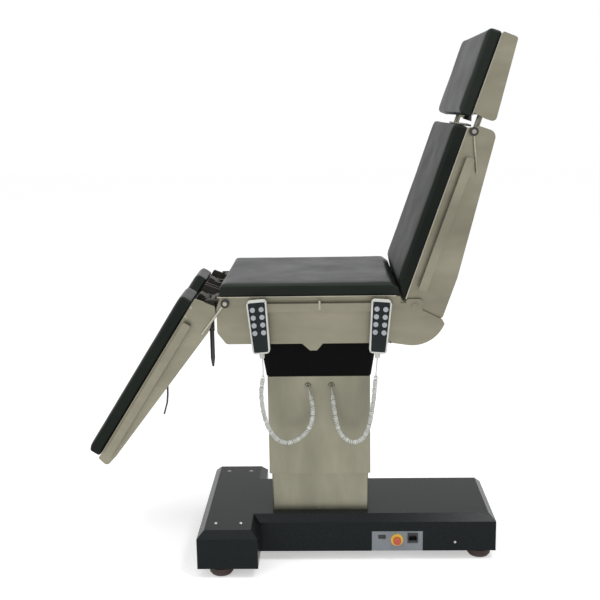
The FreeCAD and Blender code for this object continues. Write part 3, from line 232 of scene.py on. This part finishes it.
def shade(colour, factor):
    return tuple(c * factor for c in colour)


# %% Steel, brushed along one direction
def brushed(name, colour, roughness, stretch, depth=0.00004):
    """Sheet steel with fine scratches along the axis that has the small factor."""
    material, tree, shader, place = finish_of(name, colour, roughness, 1.0)
    scratches = noise(tree, place, 900.0, stretch, 2.0)
    haze = noise(tree, place, 9.0, tuple(0.35 if s < 1.0 else 1.0 for s in stretch))
    tree.links.new(tint(tree, haze, shade(colour, 0.82), shade(colour, 1.16)), shader.inputs["Base Color"])
    tree.links.new(spread(tree, scratches, roughness - 0.07, roughness + 0.09), shader.inputs["Roughness"])
    raise_surface(tree, shader, scratches, depth, 0.35)
    return material


column_steel = brushed("column_sheet_steel", (0.225, 0.216, 0.164), 0.42, (1.0, 1.0, 0.02))
plate_steel = brushed("side_plate_steel", (0.245, 0.230, 0.175), 0.40, (0.02, 1.0, 1.0))
lever_steel = brushed("satin_lever_steel", (0.36, 0.345, 0.28), 0.36, (1.0, 1.0, 0.1))
frame_steel = brushed("frame_steel", (0.16, 0.15, 0.12), 0.38, (0.05, 1.0, 1.0))
chrome = brushed("polished_steel", (0.42, 0.41, 0.38), 0.24, (1.0, 1.0, 1.0), 0.00001)
dark_steel = brushed("dark_handle_steel", (0.060, 0.058, 0.056), 0.34, (1.0, 1.0, 0.1))
# A near-black steel that paints the shade in the gap between seat and legs, on the leg brackets and the leg frames'
# inner faces.
gap_shade_steel = brushed("painted_shade_bracket_steel", (0.050, 0.047, 0.040), 0.5, (0.1, 1.0, 1.0))
rod_steel = brushed("satin_rod_steel", (0.20, 0.19, 0.155), 0.42, (1.0, 1.0, 0.1))
steels = (column_steel, plate_steel, lever_steel, frame_steel, chrome, dark_steel, gap_shade_steel, rod_steel)
print("Steels:", [steel.name for steel in steels])


# %% Textured paint on the base, with bright flecks that are painted glints
def textured_paint():
    colour = (0.0040, 0.0058, 0.0062)
    material, tree, shader, place = finish_of("textured_base_paint", colour, 0.24, 0.0, Specular_IOR_Level=0.12)
    pimples = noise(tree, place, 420.0, detail=2.0)
    glint_flecks = noise(tree, place, 700.0, detail=1.0)
    # The bright flecks are painted glints, standing for the sparkle of the pimpled paint.
    tree.links.new(tint(tree, glint_flecks, shade(colour, 0.7), shade(colour, 2.6)), shader.inputs["Base Color"])
    tree.links.new(spread(tree, pimples, 0.2, 0.34), shader.inputs["Roughness"])
    raise_surface(tree, shader, pimples, 0.0003, 0.35)
    return material


# %% Moulded plastics, rubber and the small painted parts
def moulded(name, colour, roughness, grain=0.00005, scale=1400.0, **sockets):
    """Plastic or rubber with the fine grain of its mould and a faint unevenness."""
    material, tree, shader, place = finish_of(name, colour, roughness, 0.0, **sockets)
    fine = noise(tree, place, scale, detail=2.0)
    broad = noise(tree, place, 18.0)
    tree.links.new(tint(tree, broad, shade(colour, 0.88), shade(colour, 1.1)), shader.inputs["Base Color"])
    tree.links.new(spread(tree, broad, roughness - 0.05, roughness + 0.06), shader.inputs["Roughness"])
    raise_surface(tree, shader, fine, grain, 0.4)
    return material


base_paint = textured_paint()
shroud_black = moulded("shroud_black_plastic", (0.0025, 0.0025, 0.0028), 0.6, Specular_IOR_Level=0.06)
sole_rubber = moulded("foot_sole_rubber", (0.030, 0.014, 0.012), 0.6)
wheel_rubber = moulded("grey_wheel_rubber", (0.07, 0.07, 0.075), 0.55)
panel_grey = moulded("control_panel_grey", (0.20, 0.22, 0.24), 0.45)
stop_red = moulded("stop_button_red", (0.50, 0.075, 0.030), 0.3)
stop_yellow = moulded("stop_collar_yellow", (0.80, 0.50, 0.06), 0.4)
switch_black = moulded("rocker_black", (0.012, 0.012, 0.014), 0.35)
pump_paint = moulded("pump_dark_paint", (0.05, 0.05, 0.055), 0.5)
handset_grey = moulded("handset_shell_grey", (0.56, 0.57, 0.53), 0.45)
handset_face = moulded("handset_face_dark", (0.006, 0.010, 0.011), 0.35, Specular_IOR_Level=0.2)
key_grey = moulded("handset_key_grey", (0.34, 0.36, 0.38), 0.35)
cord_grey = moulded("cord_pale_grey", (0.62, 0.63, 0.60), 0.5)
knob_black = moulded("knob_black", (0.014, 0.014, 0.016), 0.4)
print("Finishes so far:", len(bpy.data.materials))


# %% Black coated fabric for the cushions, more rubbed on the seat and legs than on the back
def coated_fabric(name, roughness, gloss):
    colour = (0.0062, 0.0074, 0.0066)
    material, tree, shader, place = finish_of(
        name, colour, roughness, 0.0, Specular_IOR_Level=gloss, Specular_Tint=(0.84, 1.0, 0.87, 1.0),
    )
    grain = add(tree, "ShaderNodeTexVoronoi", feature="F1", Scale=620.0)
    tree.links.new(place.outputs["Object"], grain.inputs["Vector"])
    broad = noise(tree, place, 9.0)
    tree.links.new(tint(tree, broad, shade(colour, 0.8), shade(colour, 1.35)), shader.inputs["Base Color"])
    tree.links.new(spread(tree, broad, roughness - 0.04, roughness + 0.06), shader.inputs["Roughness"])
    raise_surface(tree, shader, grain.outputs["Distance"], 0.0002, 0.35)
    return material


seat_fabric = coated_fabric("seat_coated_fabric", 0.37, 0.19)
back_fabric = coated_fabric("back_coated_fabric", 0.46, 0.117)
head_fabric = coated_fabric("head_coated_fabric", 0.43, 0.20)
leg_fabric = coated_fabric("leg_coated_fabric", 0.33, 0.14)

# %% Every CAD node gets its finish
finishes = {
    "base_frame": frame_steel, "base_cover": base_paint, "control_panel": panel_grey, "power_pack": pump_paint,
    "lower_column_cover": column_steel, "upper_column_cover": column_steel, "lock_feet": sole_rubber,
    "fixed_wheels": wheel_rubber, "castor_fork": frame_steel, "castor_wheel": wheel_rubber,
    "estop_button": stop_red, "power_switch": switch_black, "lift_mast": frame_steel,
    "column_head_shroud": shroud_black, "tilt_cradle": frame_steel, "seat_frame": frame_steel,
    # The leg brackets take the near-black steel as painted shade for the dark gap under the pads.
    "seat_side_plates": plate_steel, "seat_cushion": seat_fabric, "leg_bracket": gap_shade_steel,
    "base_cover_screws": chrome, "foot_handset_key": key_grey, "head_handset_key": key_grey,
    "foot_handset_cord": cord_grey, "head_handset_cord": cord_grey, "foot_handset": handset_grey,
    "head_handset": handset_grey,
    "back_frame": plate_steel, "back_cushion": back_fabric, "head_mount": rod_steel, "head_frame": plate_steel,
    "head_cushion": head_fabric, "head_clamp_lever": lever_steel, "leg_frame": plate_steel,
    "leg_cushion": leg_fabric, "leg_release_lever": dark_steel, "leg_clamp_lever": lever_steel,
    "leg_lock_handle": dark_steel,
}


def dress(piece, material):
    """A piece's only finish."""
    piece.data.materials.clear()
    piece.data.materials.append(material)


for name, node in nodes.items():
    kind = max((k for k in finishes if name.startswith(k)), key=len)
    dress(node, finishes[kind])
print("Dressed", len(nodes), "nodes.")

# %% [markdown]
# ## The curly cords
# Each handset hangs on a curly cord: a thin lead wound into a long spring, with a short straight end at each side.
# The line of the whole spring is a smooth curve through a few points, drooping under its own weight. The lead itself
# then winds round that line, so the turns open on the outside of a bend as real ones do. The cord crosses two
# joints, so it is made in two lengths that meet at the bottom of the loop.


# %% The line that a cord follows
def smooth_line(points, resolution=24):
    """Points along the smooth curve that a row of control points steers, all in metres."""
    data = bpy.data.curves.new("route", "CURVE")
    data.dimensions = "3D"
    data.resolution_u = resolution
    spline = data.splines.new("NURBS")
    spline.points.add(len(points) - 1)
    for i, p in enumerate(points):
        spline.points[i].co = (p[0] / 1000, p[1] / 1000, p[2] / 1000, 1.0)
    spline.order_u = 3
    spline.use_endpoint_u = True
    holder = bpy.data.objects.new("route", data)
    mesh = bpy.data.meshes.new_from_object(holder)
    line = [v.co.copy() for v in mesh.vertices]
    bpy.data.objects.remove(holder)
    bpy.data.meshes.remove(mesh)
    return line


def evenly(line, step):
    """Points a step apart along a line."""
    kept = [line[0]]
    left = step
    for a, b in zip(line, line[1:]):
        run = (b - a).length
        while run >= left:
            a = a.lerp(b, left / run)
            kept.append(a)
            run = (b - a).length
            left = step
        left -= run
    return kept


# %% Winding the lead round the line
lead_diameter = 0.0038
coil_radius = 0.0051
coil_pitch = 0.0058
winding_step = 0.0004
taper_turns = 2.5


def wind(line, straight_start, straight_end):
    """The lead's own path: straight for a stretch at each end, and wound between, with turns that open and close."""
    middle = evenly(line, winding_step)
    total = len(middle) * winding_step
    side = Vector((1.0, 0.0, 0.0))
    path = []
    angle = 0.0
    for i, point in enumerate(middle):
        along = i * winding_step
        ahead = middle[min(i + 1, len(middle) - 1)] - middle[max(i - 1, 0)]
        ahead.normalize()
        side = (side - ahead * side.dot(ahead)).normalized()
        other = ahead.cross(side)
        grown = min(along - straight_start, total - straight_end - along) / (taper_turns * coil_pitch)
        grown = max(0.0, min(1.0, grown))
        if grown == 0.0:
            if i % 8 == 0:
                path.append(point)
            continue
        opening = math.sin(along * 240.0) + 0.7 * math.sin(along * 397.0 + 1.0)
        angle += math.tau * winding_step / (coil_pitch * (1.0 + 0.28 * opening))
        radius = coil_radius * grown * grown * (3 - 2 * grown) * (1.0 - 0.07 * opening)
        path.append(point + side * (radius * math.cos(angle)) + other * (radius * math.sin(angle)))
    path.append(line[-1])
    return path


def lead(name, path, diameter, sides=7):
    """A closed round tube along a path."""
    mesh = bpy.data.meshes.new(name)
    build = bmesh.new()
    rings = []
    side = Vector((0.0, 0.0, 1.0))
    for i, point in enumerate(path):
        ahead = (path[min(i + 1, len(path) - 1)] - path[max(i - 1, 0)]).normalized()
        side = side - ahead * side.dot(ahead)
        if side.length < 1e-3:
            side = ahead.orthogonal()
        side.normalize()
        other = ahead.cross(side)
        ring = []
        for k in range(sides):
            turn = math.tau * k / sides
            ring.append(build.verts.new(point + (side * math.cos(turn) + other * math.sin(turn)) * diameter / 2))
        rings.append(ring)
    for a, b in zip(rings, rings[1:]):
        for k in range(sides):
            build.faces.new((a[k], a[(k + 1) % sides], b[(k + 1) % sides], b[k]))
    build.faces.new(list(reversed(rings[0])))
    build.faces.new(rings[-1])
    bmesh.ops.recalc_face_normals(build, faces=build.faces)
    build.to_mesh(mesh)
    build.free()
    piece = bpy.data.objects.new(name, mesh)
    bpy.context.scene.collection.objects.link(piece)
    for face in mesh.polygons:
        face.use_smooth = True
    return piece


def length_of(path):
    return sum((b - a).length for a, b in zip(path, path[1:]))


# %% The two routes, from the column's outlets to the handsets
foot_cord_route = [
    (-35, -146, 588), (-33, -172, 586), (-24, -194, 560), (-18, -204, 524), (-24, -211, 482), (-48, -219, 446),
    (-92, -232, 426), (-128, -246, 440), (-154, -260, 480), (-168, -272, 530), (-174, -284, 580),
    (-174, -292, 622), (-163.2, -304, 677.7), (-166.8, -304, 722.6),
]
head_cord_route = [
    (40, -146, 588), (40, -172, 588), (44, -196, 560), (48, -206, 524), (55, -211, 486), (63, -215, 456),
    (84, -222, 434), (110, -231, 427), (134, -241, 441), (149, -251, 472), (158, -262, 508),
    (163, -271, 548), (168, -283, 588), (170, -293, 628), (173.9, -304, 675.6), (177.2, -304, 720.5),
]


def curly_cord(name, route):
    """Both lengths of a handset's cord, split where the loop is lowest."""
    whole = wind(smooth_line(route), 0.042, 0.050)
    lowest = min(range(len(whole)), key=lambda i: whole[i].z)
    halves = (
        ("_outlet_half", whole[: lowest + 1], "lift_column", "cradle"),
        ("_handset_half", whole[lowest:], "cradle", "seat"),
    )
    made = []
    for ending, path, low_body, high_body in halves:
        piece = lead(name + ending, path, lead_diameter)
        dress(piece, cord_grey)
        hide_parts(name)
        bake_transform(piece)
        made.append(piece)
        print(piece.name, "is", round(length_of(path), 3), "m of lead in", len(path), "steps.")
    return made


curly_cord("foot_handset_cord", foot_cord_route)
curly_cord("head_handset_cord", head_cord_route)

# %% [markdown]
# ## Faces with a finish of their own
# Some nodes hold two colours, such as a handset's pale shell with its dark front. Their faces are found by where they
# lie, in millimetres, and take a second finish.


# %% A second finish on some faces of a piece
def paint_where(name, material, inside):
    """Another finish for the faces of a node whose middle, in millimetres, passes a test."""
    piece = nodes[name]
    piece.data.materials.append(material)
    painted = 0
    for face in piece.data.polygons:
        middle = face.center * 1000
        if inside(middle.x, middle.y, middle.z):
            face.material_index = len(piece.data.materials) - 1
            painted += 1
    print(name, "has", painted, "faces in", material.name)


def flat_back(x, z):
    """Where a point of the raised back section was along it and below its deck, in millimetres."""
    turn = math.radians(70.65)
    dx, dz = x - 291.5, z - 868.5
    return dx * math.cos(turn) + dz * math.sin(turn) - 24.0, dz * math.cos(turn) - dx * math.sin(turn) - 33.5


def on_handset_face(x, y, z, top_x, top_z, lean):
    """Whether a point lies on the dark front of a handset that hangs from its top with a lean, in millimetres."""
    turn = math.radians(lean)
    dx, dz = x - top_x, z - top_z
    across, down = dx * math.cos(turn) + dz * math.sin(turn), dx * math.sin(turn) - dz * math.cos(turn)
    return y < -314.4 and 4.4 < down < 156.6 and abs(across) < 25.6 - 4.0 * down / 161.0


# %% The panel, the knobs and the handsets' faces
stop_x, stop_z = 248, 73
inlet_x, inlet_z = 299, 79.5
leg_knob = (-277.4, 883.7)
head_knob = (515, -21)
lock_collar = 781.9
paint_where("control_panel", stop_yellow, lambda x, y, z: y < -171.1 and math.hypot(x - stop_x, z - stop_z) < 21)
paint_where("control_panel", switch_black, lambda x, y, z: max(abs(x - inlet_x), abs(z - inlet_z)) < 17.1)


def on_knob_rim(y, face, place, knob):
    """Whether a point lies on the dark rim of a clamp lever's knob, in millimetres."""
    return abs(abs(y) - face - 4.5) < 4.6 and 6.4 < math.dist(place, knob) < 13.2


for side in ("left", "right"):
    paint_where("leg_clamp_lever_" + side, knob_black, lambda x, y, z: on_knob_rim(y, 268, (x, z), leg_knob))
    paint_where(
        "head_clamp_lever_" + side, knob_black,
        lambda x, y, z: on_knob_rim(y, 258, flat_back(x, z), head_knob),
    )
    # The leg frames' inner faces take the near-black steel as painted shade for the dark gap between the pads.
    paint_where("leg_frame_" + side, gap_shade_steel, lambda x, y, z: abs(y) < 261.0)
    paint_where("leg_lock_handle_" + side, knob_black, lambda x, y, z: z > lock_collar)
for name, hung in (("foot_handset", (-181.0, 899.0, 4.6)), ("head_handset", (190.5, 897.0, -4.3))):
    paint_where(name, handset_face, lambda x, y, z: on_handset_face(x, y, z, *hung))
paint_where("head_mount", knob_black, lambda x, y, z: abs(y) < 15 and flat_back(x, z)[0] < 569)

# %% [markdown]
# ## Working on a piece in edit mode
# Each new piece begins as a block or a disc, and gets its form from the same tools that a modeller reaches for:
# bisect, inset, bevel and extrude. Faces are picked by the way they look.


# %% Beginning and ending a piece
def begin(name, low, high):
    """A block between two corners, in metres, ready in edit mode."""
    bpy.ops.object.select_all(action="DESELECT")
    bpy.ops.mesh.primitive_cube_add(size=1.0, location=(0.0, 0.0, 0.0))
    piece = bpy.context.object
    piece.name = name
    bpy.ops.object.mode_set(mode="EDIT")
    bpy.ops.mesh.select_all(action="SELECT")
    size = [b - a for a, b in zip(low, high)]
    middle = [(a + b) / 2 for a, b in zip(low, high)]
    bpy.ops.transform.resize(value=size, center_override=(0.0, 0.0, 0.0))
    bpy.ops.transform.translate(value=middle)
    return piece


def slice_off(point, way):
    """Cut away what lies beyond a plane, and close the cut."""
    bpy.ops.mesh.select_all(action="SELECT")
    bpy.ops.mesh.bisect(plane_co=point, plane_no=way, use_fill=True, clear_outer=True)


def pick(piece, test):
    """Select the faces that pass a test."""
    bpy.ops.mesh.select_mode(type="FACE")
    bpy.ops.mesh.select_all(action="DESELECT")
    build = bmesh.from_edit_mesh(piece.data)
    for face in build.faces:
        face.select_set(test(face))
    bmesh.update_edit_mesh(piece.data)


def leave():
    """Back to object mode, with the faces' outsides outside."""
    bpy.ops.mesh.select_all(action="SELECT")
    bpy.ops.mesh.normals_make_consistent(inside=False)
    bpy.ops.object.mode_set(mode="OBJECT")


def turned(piece, turn, pivot):
    """Turn a piece's mesh about a hinge line across the table."""
    bpy.ops.object.mode_set(mode="EDIT")
    bpy.ops.mesh.select_all(action="SELECT")
    bpy.ops.transform.rotate(
        value=-turn, orient_axis="Y", orient_type="GLOBAL", center_override=(pivot[0], 0.0, pivot[1]),
    )
    bpy.ops.object.mode_set(mode="OBJECT")


# %% [markdown]
# ## The cushions
# Each pad is a block with its top edges cut at a slant. It is remeshed evenly and then blown up a little as cloth, so
# that its faces crown and its edges round over, while its underside stays flat on the deck.


# %% Blowing up a pad
def puff(piece, floor_level, most):
    """Swell a pad under pressure, no point further than a limit, and none below its deck."""
    mesh = piece.data
    start = [v.co.copy() for v in mesh.vertices]
    cloth = piece.modifiers.new("cloth", "CLOTH")
    cloth.settings.use_pressure = True
    cloth.settings.uniform_pressure_force = 4.0
    cloth.settings.effector_weights.gravity = 0.0
    scene = bpy.context.scene
    for frame_number in range(1, 21):
        scene.frame_set(frame_number)
    swollen = piece.evaluated_get(bpy.context.evaluated_depsgraph_get())
    ends = [v.co.copy() for v in swollen.data.vertices]
    piece.modifiers.remove(cloth)
    scene.frame_set(1)
    for vertex, a, b in zip(mesh.vertices, start, ends):
        move = b - a
        if move.length > most:
            move = move.normalized() * most
        vertex.co = a + move
        vertex.co.z = max(vertex.co.z, floor_level)
    print(piece.name, "swelled, with", len(ends), "points.")


def apply(piece, kind, **settings):
    """Add a modifier and apply it."""
    bpy.ops.object.select_all(action="DESELECT")
    piece.select_set(True)
    bpy.context.view_layer.objects.active = piece
    modifier = piece.modifiers.new(kind.lower(), kind)
    for name, value in settings.items():
        setattr(modifier, name, value)
    bpy.ops.object.modifier_apply(modifier=modifier.name)


slack = 0.0015
most_swell = 0.0028


def pad(name, body, low, high, cuts, voxel, turn=0.0, pivot=(0.0, 0.0)):
    """A cushion: a block with slanted cuts, swollen, then turned about its hinge and put on its body."""
    low = [a + slack for a in low]
    high = [a - slack for a in high]
    low[2] -= slack
    piece = begin(name + "_padded", low, high)
    for point, way in cuts:
        slice_off([p - slack * w for p, w in zip(point, way)], way)
    leave()
    apply(piece, "REMESH", mode="VOXEL", voxel_size=voxel, use_smooth_shade=True)
    puff(piece, low[2], most_swell)
    apply(piece, "SUBSURF", levels=1, render_levels=1)
    if turn:
        turned(piece, turn, pivot)
    dress(piece, finishes[name.replace("_left", "").replace("_right", "")])
    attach(piece, body)
    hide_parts(name)
    return piece


# %% Where the pads are cut
def edge_cuts(low, high, starts, ends, side=0.008):
    """The slanted cuts along a pad's four top edges; starts and ends are (inwards, down)."""
    cuts = []
    for x, way, (inwards, down) in ((low[0], -1.0, starts), (high[0], 1.0, ends)):
        slope = Vector((way * down, 0.0, inwards)).normalized()
        cuts.append(((x, 0.0, high[2] - down), tuple(slope)))
    for y, way in ((low[1], -1.0), (high[1], 1.0)):
        slope = Vector((0.0, way, 1.0)).normalized()
        cuts.append(((0.0, y, high[2] - side), tuple(slope)))
    return cuts


half_width = 0.268
deck = 0.902
seat_top = deck + 0.040
pad_top = deck + 0.041
plain = (0.008, 0.008)

# %% The seat's pad
seat_low, seat_high = (-0.297, -half_width, deck), (0.249, half_width, seat_top)
pad("seat_cushion", "seat", seat_low, seat_high, edge_cuts(seat_low, seat_high, plain, (0.025, 0.018)), 0.007)

# %% The back's and the head's pads
back_turn = math.radians(-70.65)
back_pivot = (0.2915, 0.8685)
back_low, back_high = (0.2925, -half_width, deck), (0.8405, half_width, pad_top)
back_cuts = edge_cuts(back_low, back_high, (0.059, 0.0345), plain)
pad("back_cushion", "back", back_low, back_high, back_cuts, 0.007, back_turn, back_pivot)
head_low, head_high = (0.8635, -half_width, deck), (1.1205, half_width, pad_top)
pad(
    "head_cushion", "head", head_low, head_high, edge_cuts(head_low, head_high, plain, plain), 0.006,
    back_turn, back_pivot,
)

# %% The legs' pads, each with its inner corner cut off
leg_turn = math.radians(-57.55)
leg_pivot = (-0.349, 0.8685)
leg_pad_start, leg_pad_end = -0.3426, -0.9286
middle_gap = 0.012
corner_along, corner_across = 0.100, 0.110
for side, way in (("left", -1.0), ("right", 1.0)):
    y_low, y_high = sorted((way * half_width, way * middle_gap))
    leg_low, leg_high = (leg_pad_end, y_low, deck), (leg_pad_start, y_high, pad_top)
    slope = Vector((corner_across, -way * corner_along, 0.0)).normalized()
    corner = ((leg_pad_start, way * 0.112, deck), tuple(slope))
    leg_cuts = edge_cuts(leg_low, leg_high, plain, plain) + [corner]
    pad("leg_cushion_" + side, "leg_" + side, leg_low, leg_high, leg_cuts, 0.006, leg_turn, leg_pivot)

# %% [markdown]
# ## Edges, screws and grommets
# The plates' folded upper edges show as thin bright lines under the pads; these highlights are painted, as thin
# strips in a paler steel. Small screws hold the rails and the covers, and a dark grommet guards each cord where it
# leaves the column.


# %% Painted highlights: bright strips of paler steel along the plates' folded edges under the pads
plate_face = 0.2687
rail_face = 0.2908
lip_level = 0.9035
lip_height = 0.0035
lip_inside, lip_outside = 0.2655, 0.2692


def placed(piece, material, body):
    """A finished detail's material, slot and body."""
    dress(piece, material)
    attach(piece, body)
    return piece


def highlight_strip(name, body, start, end, turn=0.0, pivot=(0.0, 0.0)):
    """A thin rounded strip of paler steel along the outside of a side plate, painting the highlight on its edge,
    lying flat until it is turned.
    """
    for side, way in (("left", -1.0), ("right", 1.0)):
        y_low, y_high = sorted((way * lip_inside, way * lip_outside))
        piece = begin(name + "_" + side, (start, y_low, lip_level - lip_height), (end, y_high, lip_level))
        bpy.ops.mesh.bevel(offset=0.0006, segments=2, affect="EDGES")
        leave()
        if turn:
            turned(piece, turn, pivot)
        # The strip's paler steel is the painted highlight.
        placed(piece, lever_steel, body)


highlight_strip("seat_plate_highlight_strip", "seat", -0.300, 0.236)
highlight_strip("back_plate_highlight_strip", "back", 0.304, 0.836, back_turn, back_pivot)
highlight_strip("head_plate_highlight_strip", "head", 0.872, 1.114, back_turn, back_pivot)
print("Three pairs of lips are on.")


# %% Screws, a joint cover on the rail, a bar above the back and grommets
def screw(name, body, place, radius, height, material, side=-1.0, turn=0.0, pivot=(0.0, 0.0)):
    """A domed head with a small socket, facing out of the table's side."""
    bpy.ops.object.select_all(action="DESELECT")
    bpy.ops.mesh.primitive_cylinder_add(vertices=20, radius=radius, depth=height, location=(0.0, 0.0, 0.0))
    piece = bpy.context.object
    piece.name = name
    bpy.ops.object.mode_set(mode="EDIT")
    pick(piece, lambda face: face.normal.z > 0.9)
    bpy.ops.mesh.inset(thickness=radius * 0.35)
    bpy.ops.transform.translate(value=(0.0, 0.0, height * 0.35))
    bpy.ops.mesh.inset(thickness=radius * 0.25)
    bpy.ops.mesh.extrude_region_move(TRANSFORM_OT_translate={"value": (0.0, 0.0, -height * 0.5)})
    leave()
    stand = Matrix.Rotation(-side * math.pi / 2, 4, "X")
    piece.data.transform(Matrix.Translation(place) @ stand)
    if turn:
        turned(piece, turn, pivot)
    return placed(piece, material, body)


for side, way in (("left", -1.0), ("right", 1.0)):
    # Each joint cover sits at the rail's seam and is made in the paler lever steel, so that it also paints a
    # highlight line there.
    clip = begin("rail_joint_cover_" + side, (0.0035, -0.0012, 0.866), (0.0095, 0.0012, 0.893))
    bpy.ops.mesh.bevel(offset=0.0008, segments=2, affect="EDGES")
    bpy.ops.transform.translate(value=(0.0, way * rail_face, 0.0))
    leave()
    placed(clip, lever_steel, "seat")
    screw("seat_plate_screw_" + side, "seat", (0.2187, way * plate_face, 0.7588), 0.0028, 0.0014, dark_steel, way)
    for i, (x, z) in enumerate(((-0.3627, 0.8965), (-0.3961, 0.8955))):
        screw(
            f"leg_plate_screw_{side}_{i}", "leg_" + side, (x, way * plate_face, z), 0.0035, 0.0016, lever_steel, way,
            leg_turn, leg_pivot,
        )
bar = begin("back_end_bar", (0.8425, -0.195, 0.884), (0.8475, 0.195, 0.900))
bpy.ops.mesh.bevel(offset=0.001, segments=2, affect="EDGES")
leave()
turned(bar, back_turn, back_pivot)
placed(bar, rod_steel, "back")
screw("lower_cover_screw", "base", (-0.004, -0.1184, 0.161), 0.0032, 0.0016, rod_steel)
for name, x in (("foot", -0.035), ("head", 0.040)):
    screw(name + "_cord_grommet", "lift_column", (x, -0.1462, 0.588), 0.0042, 0.0028, knob_black)
print("Screws and grommets are on.")
